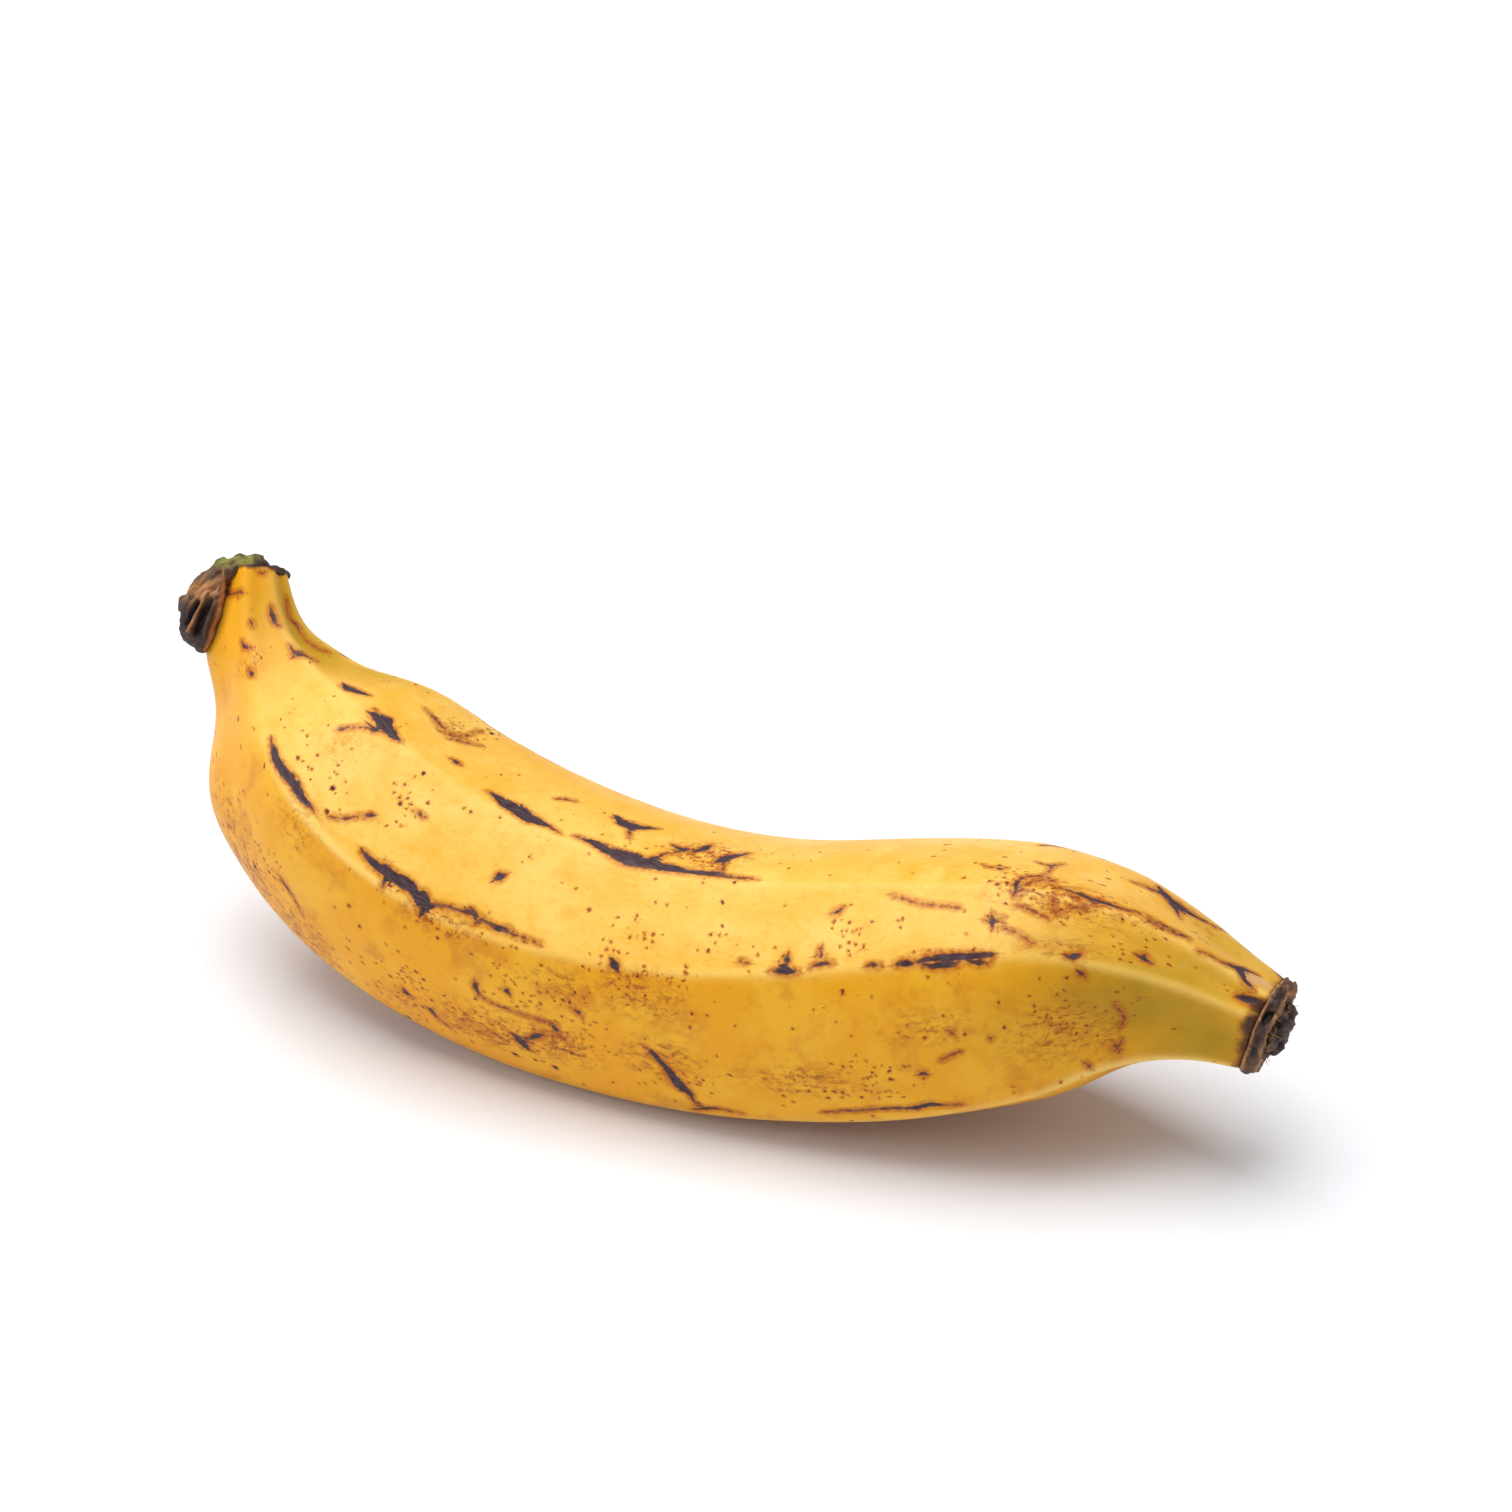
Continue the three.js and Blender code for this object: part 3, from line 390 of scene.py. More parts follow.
class PlantainColours(bpy.types.PropertyGroup):
    ripe: colour_setting("Ripe yellow", "Body of the peel", 0xEFB43C)
    pale: colour_setting("Pale yellow", "Pale flecks of the peel", 0xF9CE6C)
    # On the lower faces this orange is painted shade
    orange: colour_setting("Orange yellow", "The neck, the lower faces and the deeper flecks", 0xEBA10A)
    # Gold is laid only on the faces that look down or sideways, within their painted shade
    gold: colour_setting("Gold", "Clearer yellow patches of the lower faces", 0xF2B52A)
    # Also painted shade on the neck's hollow face
    green: colour_setting("Olive", "Peel that is still green at the ends", 0xB08806)
    # Painted shade: the duller yellow laid on the faces that look down
    belly: colour_setting("Belly", "Duller yellow of the underside", 0xC07A14)
    bruise: colour_setting("Bruise", "Dark marks", 0x3A2529)
    # Painted sheen: the greyer streaks inside the dark marks
    bruise_sheen: colour_setting("Bruise grain", "Greyer streaks in dark marks", 0x6A5A60)
    halo: colour_setting("Halo", "Brown edge of marks, and scratches", 0x9E4A0E)
    glow: colour_setting("Glow", "Soft brown glow round marks and specks", 0xB2560E)
    speck: colour_setting("Speck", "Small specks", 0x6E300E)
    smudge: colour_setting("Smudge", "Rubbed patches", 0xC0641A)
    dried: colour_setting("Dried brown", "Stub and blossom end", 0x38221A)
    tan: colour_setting("Tan", "Worn edges of the dried ends", 0xB8814F)
    dry_skin: colour_setting("Dry skin", "Dry peel beside the blossom end", 0xD2A878)
    # Painted shade: near-black laid in the hollows
    recess_shade: colour_setting("Recess", "Hollows of the dried ends", 0x170F0F)
    # Painted highlight: grey flecks on the knob
    slate_highlight: colour_setting("Slate", "Worn lumps of the blossom end", 0x4A4548)
    skin: colour_setting("Green skin", "Skin left on the crown", 0x8A8434)
    fibre: colour_setting("Fibre", "Loose fibres", 0xC98B2E)


class PlantainStage(bpy.types.PropertyGroup):
    floor_white: colour_setting("Floor", "Matt floor", 0xF2F4F8)
    sky: FloatProperty(name="Sky", description="Strength of the even light", default=0.34, min=0.0)
    key: FloatProperty(name="Key light", description="Power of the light overhead, W", default=40.0, min=0.0)
    azimuth: FloatProperty(
        name="Azimuth", description="Camera's turn round the fruit", default=math.radians(19), subtype="ANGLE"
    )
    elevation: FloatProperty(
        name="Elevation", description="Camera's height above level", default=math.radians(33), subtype="ANGLE"
    )
    distance: FloatProperty(
        name="Distance", description="Camera to the point it looks at", default=0.76, unit="LENGTH"
    )
    lens: FloatProperty(name="Lens", description="Focal length, mm on a 36 mm frame", default=95.0, min=10.0)


def add(tree, kind, *values, out=0, to=None, **settings):
    """Adds a node with its settings, fills or links its inputs in order or by name, and returns an output. A
    kind in capitals is an operation of the Math node."""
    if kind.isupper():
        kind, settings = "ShaderNodeMath", {"operation": kind}
    made = tree.nodes.new(kind)
    for name, value in settings.items():
        setattr(made, name, value)
    for key, value in [*enumerate(values), *(to or {}).items()]:
        socket = made.inputs[key]
        if isinstance(value, bpy.types.NodeSocket):
            tree.links.new(value, socket)
        elif socket.type == "RGBA":
            socket.default_value = (*value[:3], 1.0)
        else:
            socket.default_value = value
    return made.outputs[out]


def named_tree(name, inputs):
    """A Geometry Nodes tree with a mesh in and out, inputs given as {name: default}, and a material, then the
    node adder for it and its inputs by name."""
    tree = bpy.data.node_groups.new(name, "GeometryNodeTree")
    tree.is_modifier = True
    tree.interface.new_socket("Mesh", in_out="INPUT", socket_type="NodeSocketGeometry")
    tree.interface.new_socket("Mesh", in_out="OUTPUT", socket_type="NodeSocketGeometry")
    for label, default in inputs.items():
        kind = "NodeSocketInt" if isinstance(default, int) else "NodeSocketFloat"
        tree.interface.new_socket(label, in_out="INPUT", socket_type=kind).default_value = default
    tree.interface.new_socket("Material", in_out="INPUT", socket_type="NodeSocketMaterial")
    return tree, partial(add, tree), tree.nodes.new("NodeGroupInput").outputs


def close_tree(tree, mesh, material):
    """Ends the tree in Realize Instances and Set Material."""
    real = add(tree, "GeometryNodeRealizeInstances", mesh)
    dressed = add(tree, "GeometryNodeSetMaterial", to={"Geometry": real, "Material": material})
    end = tree.nodes.new("NodeGroupOutput")
    tree.links.new(dressed, end.inputs["Mesh"])


def plain_mesh(obj):
    """The object's evaluated mesh in place of its own, with the modifiers removed."""
    bpy.context.view_layer.update()
    graph = bpy.context.evaluated_depsgraph_get()
    grown = obj.evaluated_get(graph)
    mesh = bpy.data.meshes.new_from_object(grown, preserve_all_data_layers=True, depsgraph=graph)
    obj.modifiers.clear()
    old = obj.data
    obj.data = mesh
    mesh.name = obj.name
    bpy.data.meshes.remove(old)
    mesh.polygons.foreach_set("use_smooth", [True] * len(mesh.polygons))
    return obj


def grow(obj, tree, values):
    """Runs the tree on the object with its named inputs set, and leaves a plain mesh."""
    modifier = obj.modifiers.new(tree.name, "NODES")
    modifier.node_group = tree
    ids = {item.name: item.identifier for item in tree.interface.items_tree if item.in_out == "INPUT"}
    for name, value in values.items():
        modifier[ids[name]] = value
    plain_mesh(obj)


def new_object(name, mesh):
    obj = bpy.data.objects.new(name, mesh)
    bpy.context.scene.collection.objects.link(obj)
    return obj


def finish_piece(obj):
    if not obj.data.polygons:
        raise RuntimeError(f"{obj.name} has no faces")
    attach(obj, BODY)


def store(mesh, **fields):
    """Writes named attributes of one value, or one vector, a vertex."""
    for name, values in fields.items():
        values = np.ascontiguousarray(values, np.float32)
        kind, key = ("FLOAT_VECTOR", "vector") if values.ndim == 2 else ("FLOAT", "value")
        mesh.attributes.new(name, kind, "POINT").data.foreach_set(key, values.ravel())


def drop(mesh, *names):
    """Removes the attributes that only the piece's own tree reads."""
    for name in names:
        mesh.attributes.remove(mesh.attributes[name])


def vectors(collection, key):
    """One row for each item of a mesh's vertices or normals."""
    out = np.empty(len(collection) * 3, np.float32)
    collection.foreach_get(key, out)
    return out.reshape(-1, 3).astype(float)


def turn_from(angles, degrees):
    """How far each angle is past the given one, -pi to pi."""
    return (angles[None] - math.radians(degrees) + np.pi) % (2 * np.pi) - np.pi


def table(rows, x):
    """Smooth curve through rows of (x, y); its slope at a row is that between the row's neighbours."""
    xs, ys = np.array(rows, float).T
    slope = np.gradient(ys, xs)
    slope[1:-1] = (ys[2:] - ys[:-2]) / (xs[2:] - xs[:-2])
    i = np.clip(np.searchsorted(xs, x) - 1, 0, len(xs) - 2)
    h = xs[i + 1] - xs[i]
    u = (x - xs[i]) / h
    return (
        (2 * u**3 - 3 * u**2 + 1) * ys[i] + (u**3 - 2 * u**2 + u) * h * slope[i]
        + (3 * u**2 - 2 * u**3) * ys[i + 1] + (u**3 - u**2) * h * slope[i + 1]
    )


def spine(shares):
    """Points in mm along the middle of the fruit, its run there, and the section's front and up."""
    lean = math.radians(LEAN)
    rise = np.array([0, math.sin(lean), math.cos(lean)])
    side = np.array([0, -math.cos(lean), math.sin(lean)])
    heading = lambda s: np.cos(s)[:, None] * np.array([1.0, 0, 0]) + np.sin(s)[:, None] * rise
    fine = np.linspace(0, 1, SPINE_STEPS + 1)
    step = heading(np.radians(table(BEND, (fine[1:] + fine[:-1]) / 2))) * LENGTH / SPINE_STEPS
    path = np.vstack([np.zeros(3), np.cumsum(step, axis=0)]) + START
    centre = np.stack([np.interp(shares, fine, path[:, k]) for k in range(3)], axis=1)
    run = heading(np.radians(table(BEND, shares)))
    inner = np.cross(side, run)
    inner *= np.sign(inner @ rise)[:, None]
    front = math.cos(lean) * side - math.sin(lean) * inner
    up = math.sin(lean) * side + math.cos(lean) * inner
    return centre, run, front, up


def end_frame(end):
    """The middle in mm, run, front and up of the neck's end (0) or the blossom end (1)."""
    return [part[end] for part in spine(np.array([0.0, 1.0]))]


def faces_between_ridges(shares, angles):
    """For each ring and side: where it lies between two ridges, 0 to 1, half the angle between them, and
    how near it is to a ridge's crease in mm with that crease's strength."""
    ridge = np.array([np.radians(table(rows, shares)) for rows in RIDGES.values()])
    crest = np.array([table(CREST[name], shares) for name in RIDGES])
    radius = table(RADIUS, shares)
    where = np.zeros((len(shares), len(angles)))
    half = np.ones_like(where)
    crease = np.zeros_like(where)
    for k in range(len(ridge)):
        low, high = ridge[k][:, None], ridge[(k + 1) % len(ridge)][:, None]
        span = (high - low) % (2 * np.pi)
        past = (angles[None] - low) % (2 * np.pi)
        inside = past < span
        where = np.where(inside, past / span, where)
        half = np.where(inside, span / 2, half)
        for gap, strength in ((past, crest[k]), (span - past, crest[(k + 1) % len(ridge)])):
            near = strength[:, None] * np.exp(-((gap * radius[:, None] / CREASE_WIDTH) ** 2))
            crease = np.where(inside, np.maximum(crease, near), crease)
    return where, half, crease


def swell(shares, angles):
    """How far the fruit swells past its even section on the rings and sides, as a share of the radius."""
    radius = table(RADIUS, shares)[:, None]
    total = np.zeros((len(shares), len(angles)))
    for share, angle, long, wide, height in SWELLS:
        aside = turn_from(angles, angle) * radius / wide
        total += height * np.exp(-(((shares[:, None] - share) * LENGTH / long) ** 2 + aside**2))
    return total / radius


def patches(spots, shares, angles):
    """Soft patches on the rings and sides, the strongest one at each point."""
    radius = np.maximum(table(RADIUS, shares), 6)[:, None]
    field = np.zeros((len(shares), len(angles)))
    for share, angle, long, wide, strength in spots:
        ahead = (shares[:, None] * LENGTH - share / 100 * LENGTH) / long
        far = ahead**2 + (turn_from(angles, angle) * radius / wide) ** 2
        field = np.maximum(field, strength * np.exp(-(far**1.3)))
    return field


def tube_mesh(name, points):
    """A closed tube of rings x sides points, with a pole at each end; faces point outwards."""
    rings, sides = points.shape[:2]
    flat = points.reshape(-1, 3)
    poles = [points[0].mean(axis=0), points[-1].mean(axis=0)]
    mesh = bpy.data.meshes.new(name)
    around = np.arange(sides)
    nxt = (around + 1) % sides
    quads = []
    for i in range(rings - 1):
        a, b = i * sides, (i + 1) * sides
        quads.append(np.stack([a + around, b + around, b + nxt, a + nxt], axis=1))
    first, last = rings * sides, rings * sides + 1
    caps = [(first, int(a), int(n)) for a, n in zip(around, nxt)]
    base = (rings - 1) * sides
    caps += [(last, base + int(n), base + int(a)) for a, n in zip(around, nxt)]
    mesh.from_pydata([*flat.tolist(), *[p.tolist() for p in poles]], [], [*np.vstack(quads).tolist(), *caps])
    mesh.update()
    return mesh


def peel_tree():
    """The five-ridged section round the spine: each face sinks between two ridges by rule."""
    tree, node, given = named_tree("five_ridged_section", {"Face flatness": 1.0, "Ridge softness": 0.2})
    read = {
        name: node("GeometryNodeInputNamedAttribute", name, data_type=kind)
        for name, kind in (
            ("centre", "FLOAT_VECTOR"), ("outward", "FLOAT_VECTOR"), ("where", "FLOAT"), ("half", "FLOAT"),
            ("flatness", "FLOAT"), ("hollow", "FLOAT"), ("swell", "FLOAT"),
        )
    }
    soft = given["Ridge softness"]
    across = node("MULTIPLY_ADD", read["where"], 2.0, -1.0)
    inward = node("SUBTRACT", 1.0, node("ABSOLUTE", across))
    turned = node("COSINE", node("MULTIPLY", across, read["half"]))
    straight = node("DIVIDE", node("COSINE", read["half"]), turned)
    chord = node("SUBTRACT", 1.0, straight)
    above = node("MULTIPLY", inward, node("ADD", soft, 1.0))
    rounded = node("DIVIDE", above, node("ADD", inward, soft))
    flat = node("MULTIPLY", read["flatness"], given["Face flatness"])
    dip = node("MULTIPLY", node("MULTIPLY", chord, rounded), flat)
    wave = node("SINE", node("MULTIPLY", read["where"], math.pi))
    squared = node("MULTIPLY", wave, wave)
    sunk = node("MULTIPLY_ADD", squared, read["hollow"], dip)
    reach = node("ADD", node("SUBTRACT", 1.0, sunk), read["swell"])
    out = node(VECTOR, read["outward"], to={"Scale": reach}, operation="SCALE")
    place = node(VECTOR, read["centre"], out, operation="ADD")
    moved = node("GeometryNodeSetPosition", to={"Geometry": given["Mesh"], "Position": place})
    close_tree(tree, moved, given["Material"])
    return tree


def relief_tree():
    """Fine relief on the peel: shallow pores all over, wrinkles at both ends, marks that sink in."""
    tree, node, given = named_tree("peel_relief", {
        "Pore depth": 0.0, "Wrinkle depth": 0.0, "Bruise sink": 0.0, "Crease rise": 0.0, "Seed": 0.0,
    })
    read = {
        name: node("GeometryNodeInputNamedAttribute", name, data_type="FLOAT")
        for name in ("wrinkle", "dented", "crease", "turn", "along")
    }
    place = node("GeometryNodeInputPosition")
    seed = given["Seed"]
    # Pores about 2.5 mm apart; finer ones are in the material's bump
    pores = node(NOISE, to={"Vector": place, "W": seed, "Scale": 400.0, "Detail": 2.0}, noise_dimensions="4D")
    # Wrinkles run along the fruit: about 7 round it, one every 30 mm along it
    round_x = node("MULTIPLY", node("COSINE", read["turn"]), 2.6)
    round_y = node("MULTIPLY", node("SINE", read["turn"]), 2.6)
    lines = node("ShaderNodeCombineXYZ", round_x, round_y, node("MULTIPLY", read["along"], 0.035))
    folds = node(NOISE, to={"Vector": lines, "W": seed, "Scale": 1.0, "Detail": 2.0}, noise_dimensions="4D")
    fine = node("MULTIPLY", node("SUBTRACT", pores, 0.5), given["Pore depth"])
    deep = node("MULTIPLY", read["wrinkle"], given["Wrinkle depth"])
    deep = node("MULTIPLY", deep, 4.0)
    lift = node("MULTIPLY_ADD", node("SUBTRACT", folds, 0.5), deep, fine)
    sink = node("MULTIPLY", read["dented"], given["Bruise sink"])
    lift = node("SUBTRACT", lift, sink)
    lift = node("MULTIPLY_ADD", read["crease"], given["Crease rise"], lift)
    push = node(VECTOR, node("GeometryNodeInputNormal"), to={"Scale": lift}, operation="SCALE")
    moved = node("GeometryNodeSetPosition", to={"Geometry": given["Mesh"], "Offset": push})
    # Nothing goes below the level that the fruit rests on
    split = node("ShaderNodeSeparateXYZ", node("GeometryNodeInputPosition"), out=2)
    height = node("MAXIMUM", split, 0.0)
    level = node("ShaderNodeCombineXYZ", split.node.outputs[0], split.node.outputs[1], height)
    rested = node("GeometryNodeSetPosition", to={"Geometry": moved, "Position": level})
    close_tree(tree, rested, given["Material"])
    return tree


def mark_fields(points, facing, grid, marks):
    """For each point, the signed distance in mm from the nearest mark's middle line and that mark's half width
    there. The width shrinks to nothing away from the mark, so that no false line shows halfway between two
    marks; where no mark is near, both say so."""
    rings, sides = grid
    surface = points[: rings * sides].reshape(rings, sides, 3)
    best = np.full(len(points), NO_MARK)
    offset = np.full(len(points), NO_MARK)
    width = np.full(len(points), -8.0)
    for path in marks:
        spots = []
        for share, angle, half in np.reshape(path, (-1, 3)):
            row = min(int(round(share / 100 * (rings - 1))), rings - 1)
            column = int(round((math.radians(angle) - SEAM) / (2 * np.pi) * sides)) % sides
            spots.append((surface[row, column], half))
        low = np.min([s[0] for s in spots], axis=0) - 4
        high = np.max([s[0] for s in spots], axis=0) + 4
        near = np.nonzero(np.all((points > low) & (points < high), axis=1))[0]
        for (a, wide_a), (b, wide_b) in zip(spots, spots[1:]):
            run = b - a
            part = np.clip(((points[near] - a) @ run) / max(run @ run, 1e-9), 0, 1)
            away = points[near] - (a + part[:, None] * run)
            far = np.linalg.norm(away, axis=1)
            half = wide_a + part * (wide_b - wide_a)
            sign = np.sign(np.sum(np.cross(run, facing[near]) * away, axis=1))
            closer = (far - half < best[near]) & (far < half + MARK_REACH)
            chosen = near[closer]
            best[chosen] = (far - half)[closer]
            offset[chosen] = (np.where(sign < 0, -1.0, 1.0) * far)[closer]
            width[chosen] = (half - 1.5 * np.maximum(far - half - 0.5, 0))[closer]
    return offset, width


def new_material(name, *fields):
    """A material, its Principled shader, the node adder for its tree, and outputs for the attributes."""
    material = bpy.data.materials.new(name)
    material.use_nodes = True
    shader = next(n for n in material.node_tree.nodes if n.type == "BSDF_PRINCIPLED")
    node = partial(add, material.node_tree)
    return material, shader, node, {
        field: node("ShaderNodeAttribute", attribute_name=field, out=2) for field in fields
    }


def paint(material, shader, colour, layers, **inputs):
    """Lays each (amount, colour) over the ones before it, for the shader's base colour, and fills or links its
    other inputs, named with _ for a space."""
    tree, colour = material.node_tree, tuple(colour)
    for amount, over in layers:
        mixed = {0: amount, 6: colour, 7: tuple(over)}
        colour = add(tree, "ShaderNodeMix", to=mixed, out=2, data_type="RGBA")
    tree.links.new(colour, shader.inputs["Base Color"])
    for name, value in inputs.items():
        socket = shader.inputs[name.replace("_", " ")]
        if isinstance(value, bpy.types.NodeSocket):
            tree.links.new(value, socket)
        else:
            socket.default_value = value
    return material


def peel_material(colours):
    """Ripe plantain peel, grown with a thin wax and rubbed on the way: satin, not glossy, with broad soft
    highlights. The yellow is mottled at three sizes, old rubs are orange-brown nets, and bruises are nearly
    black with a brown edge."""
    material, shader, node, field = new_material(
        "plantain_peel_ripe_waxed", "smudge", "speckle", "green", "rim", "pale_and_highlight", "crease", "deep", "under",
        "belly", "dry", "side", "half",
    )
    place = node("ShaderNodeTexCoord", out=3)
    peel = node("ShaderNodeUVMap", uv_map="peel_mm")
    # Mottling: clouds about 16 mm wide, spots about 4 mm, flecks about 1 mm, a lengthwise grain of 3 by
    # 0.8 mm, and an unevenness of 0.6 mm that only the bump shows
    clouds = node(NOISE, to={"Vector": place, "Scale": 60.0, "Detail": 5.0, "Roughness": 0.62})
    spots = node(NOISE, to={"Vector": place, "Scale": 230.0, "Detail": 3.0})
    grain_at = node("ShaderNodeMapping", peel, to={"Scale": (0.33, 1.25, 1.0)})
    grain = node(NOISE, to={"Vector": grain_at, "Scale": 1.0, "Detail": 3.0, "Roughness": 0.6})
    flecks = node(NOISE, to={"Vector": place, "Scale": 800.0, "Detail": 3.0, "Roughness": 0.6})
    fine = node(NOISE, to={"Vector": place, "Scale": 1600.0, "Detail": 2.0})
    gilded = node(RAMP, clouds, 0.44, 0.6, 0.1, 0.75, **SMOOTH)
    dusky = node(NOISE, to={"Vector": place, "Scale": 110.0, "Detail": 5.0, "Roughness": 0.65})
    dusky = node(RAMP, dusky, 0.5, 0.66, 0.0, 0.38, **SMOOTH)
    layers = [
        (node(RAMP, clouds, 0.4, 0.62, 0.0, 0.6, **SMOOTH), colours.pale),
        # Paler yellow patches, partly the peel's own and partly a painted highlight on the upper faces and
        # ridges
        (node("MULTIPLY", field["pale_and_highlight"], 0.8), colours.pale),
        (node(RAMP, spots, 0.45, 0.7, 0.0, 0.32, **SMOOTH), colours.orange),
        (node(RAMP, flecks, 0.52, 0.7, 0.0, 0.3, **SMOOTH), colours.orange),
        (node(RAMP, grain, 0.5, 0.75, 0.0, 0.4, **SMOOTH), colours.pale),
        # Painted shade: the faces that look down or sideways take deeper orange, gold clouds and dusky patches
        (node("MULTIPLY", field["under"], node(RAMP, spots, 0.35, 0.7, 0.9, 1.0)), colours.orange),
        (node("MULTIPLY", field["under"], gilded), colours.gold),
        (node("MULTIPLY", field["under"], dusky), colours.smudge),
        (node("MULTIPLY", field["deep"], 0.8), colours.orange),
        # Painted shade: the underside darkened to a duller yellow
        (node("MULTIPLY", field["belly"], 0.85), colours.belly),
    ]
    # Olive is a little uneven where the peel ripens last
    uneven = node(RAMP, spots, 0.3, 0.65, 0.8, 1.0)
    layers += [
        (node("MULTIPLY", field["green"], uneven), colours.green),
        # Pale line along each ridge's crest: a painted highlight
        (node("MULTIPLY", field["crease"], 0.95), colours.pale),
    ]
    # Rubs: soft clouds 2.5 mm wide, a net of fine cracks with cells of about 3 mm, and ragged blots with
    # darker knots
    bent = node(NOISE, to={"Vector": peel, "Scale": 0.35, "Detail": 3.0}, out=1)
    bent = node(VECTOR, bent, (3.4, 3.4, 0.0), peel, operation="MULTIPLY_ADD")
    rub = node(NOISE, to={"Vector": peel, "Scale": 0.42, "Detail": 5.0, "Roughness": 0.7})
    rub = node(RAMP, rub, 0.45, 0.6, 0.0, 0.85, **SMOOTH)
    cracks = node("ShaderNodeTexVoronoi", to={"Vector": bent, "Scale": 0.34}, feature="DISTANCE_TO_EDGE")
    cracks = node(RAMP, cracks, 0.12, 0.01, 0.0, 1.0, **SMOOTH)
    broken = node(NOISE, to={"Vector": peel, "Scale": 0.9, "Detail": 3.0})
    broken = node(RAMP, broken, 0.44, 0.56, 0.0, 1.0)
    cracks = node("MULTIPLY", node("MULTIPLY", cracks, broken), field["smudge"])
    blots = node("ShaderNodeMapping", bent, to={"Scale": (0.42, 0.75, 1.0)})
    blots = node(NOISE, to={"Vector": blots, "Scale": 1.0, "Detail": 5.0, "Roughness": 0.68})
    knots = node("MULTIPLY", node(RAMP, blots, 0.58, 0.66, 0.0, 0.85), field["smudge"])
    blots = node("MULTIPLY", node(RAMP, blots, 0.5, 0.58, 0.0, 0.8), field["smudge"])
    layers += [
        (node("MULTIPLY", field["smudge"], node("MULTIPLY", rub, 0.6)), colours.smudge),
        (node("MULTIPLY", cracks, 0.55), colours.halo),
        (blots, colours.halo),
        (knots, colours.speck),
    ]
    # Scratches: hair lines on two slants, long across the grain of a stretched noise, broken into dashes
    busy = node("ADD", node("MAXIMUM", field["smudge"], field["speckle"]), 0.2)
    lines = []
    for slant, offset in ((0.62, 0.0), (-0.48, 40.0)):
        moved = {"Rotation": (0.0, 0.0, slant), "Location": (offset, offset, 0.0)}
        at = node("ShaderNodeMapping", peel, to=moved)
        at = node(VECTOR, at, (0.07, 0.9, 1.0), operation="MULTIPLY")
        line = node(NOISE, to={"Vector": at, "Scale": 1.0, "Detail": 1.0})
        line = node("ABSOLUTE", node("SUBTRACT", line, 0.5))
        lines.append(node(RAMP, line, 0.018, 0.004, 0.0, 0.85, **SMOOTH))
    dashes = node(NOISE, to={"Vector": peel, "Scale": 0.5, "Detail": 3.0, "Roughness": 0.7})
    dashes = node(RAMP, dashes, 0.56, 0.64, 0.0, 1.0)
    scratched = node("MULTIPLY", node("MAXIMUM", *lines), dashes)
    layers.append((node("MULTIPLY", scratched, busy), colours.halo))
    # Specks: brown dots in cells of three sizes and in loose clusters 7 mm wide, each with a soft edge; the
    # largest have a dark core
    shaken = node(NOISE, to={"Vector": place, "Scale": 1300.0, "Detail": 2.0, "Roughness": 0.7}, out=1)
    shaken = node(VECTOR, shaken, (1.3, 1.3, 0.0), peel, operation="MULTIPLY_ADD")
    cluster = node(NOISE, to={"Vector": peel, "Scale": 0.14, "Detail": 3.0, "Roughness": 0.6})
    cluster = node(RAMP, cluster, 0.42, 0.62, 0.05, 2.0)
    dots, halos = [], []
    for cell, small, large, base, gain in SPECK_SIZES:
        dot = node("ShaderNodeTexVoronoi", to={"Vector": shaken, "Scale": 1.0 / cell}, voronoi_dimensions="2D")
        chance = node("ShaderNodeSeparateColor", dot.node.outputs["Color"])
        size = node("MULTIPLY_ADD", node("POWER", chance, 2.5), large - small, small)
        limit = node("MULTIPLY", node("MULTIPLY_ADD", field["speckle"], gain, base), cluster)
        shown = node("LESS_THAN", chance.node.outputs[1], limit)
        gap = node("SUBTRACT", node("MULTIPLY", dot, cell), size)
        dots.append(node("MULTIPLY", node(RAMP, gap, 0.06, -0.08, 0.0, 1.0), shown))
        halos.append(node("MULTIPLY", node(RAMP, gap, 0.5, 0.0, 0.0, 0.7, **SMOOTH), shown))
    cores = dots[0]
    dots, halos = (reduce(partial(node, "MAXIMUM"), found) for found in (dots, halos))
    # Bruises: the listed paths. Their edges wander, fray along the fruit, and the thin ones break up
    wander = node(NOISE, to={"Vector": place, "Scale": 330.0, "Detail": 2.0})
    fray = node(NOISE, to={"Vector": place, "Scale": 1250.0, "Detail": 3.0, "Roughness": 0.6})
    spikes_at = node("ShaderNodeMapping", peel, to={"Rotation": (0.0, 0.0, 0.25), "Scale": (0.45, 2.4, 1.0)})
    spikes = node(NOISE, to={"Vector": spikes_at, "Scale": 1.0, "Detail": 2.0})
    wander, fray, spikes = (node("SUBTRACT", wave, 0.5) for wave in (wander, fray, spikes))
    broad = node("MAXIMUM", field["half"], 0.0)
    apart = node("ABSOLUTE", node("MULTIPLY_ADD", wander, 0.8, field["side"]))
    wide = node("MULTIPLY", node("MULTIPLY_ADD", wander, 1.4, 1.0), field["half"])
    ragged = node("MULTIPLY", fray, node("MULTIPLY_ADD", broad, 0.35, 0.18))
    ragged = node("MULTIPLY_ADD", spikes, node("MULTIPLY", broad, 0.75), ragged)
    edge = node("ADD", ragged, node("SUBTRACT", wide, apart))
    bruised = node(RAMP, edge, -0.18, 0.2, 0.0, 1.0, **SMOOTH)
    thin = node(RAMP, broad, 0.16, 0.42, 1.0, 0.0)
    dotted = node("MULTIPLY", thin, node("SUBTRACT", 1.0, broken))
    dotted = node("MULTIPLY", node("MULTIPLY_ADD", dotted, -0.85, 1.0), bruised)
    bruised = node("MULTIPLY", dotted, node(RAMP, broad, 0.0, 0.5, 0.5, 1.0))
    browned = node(RAMP, edge, -2.4, 0.1, 0.0, 1.0)
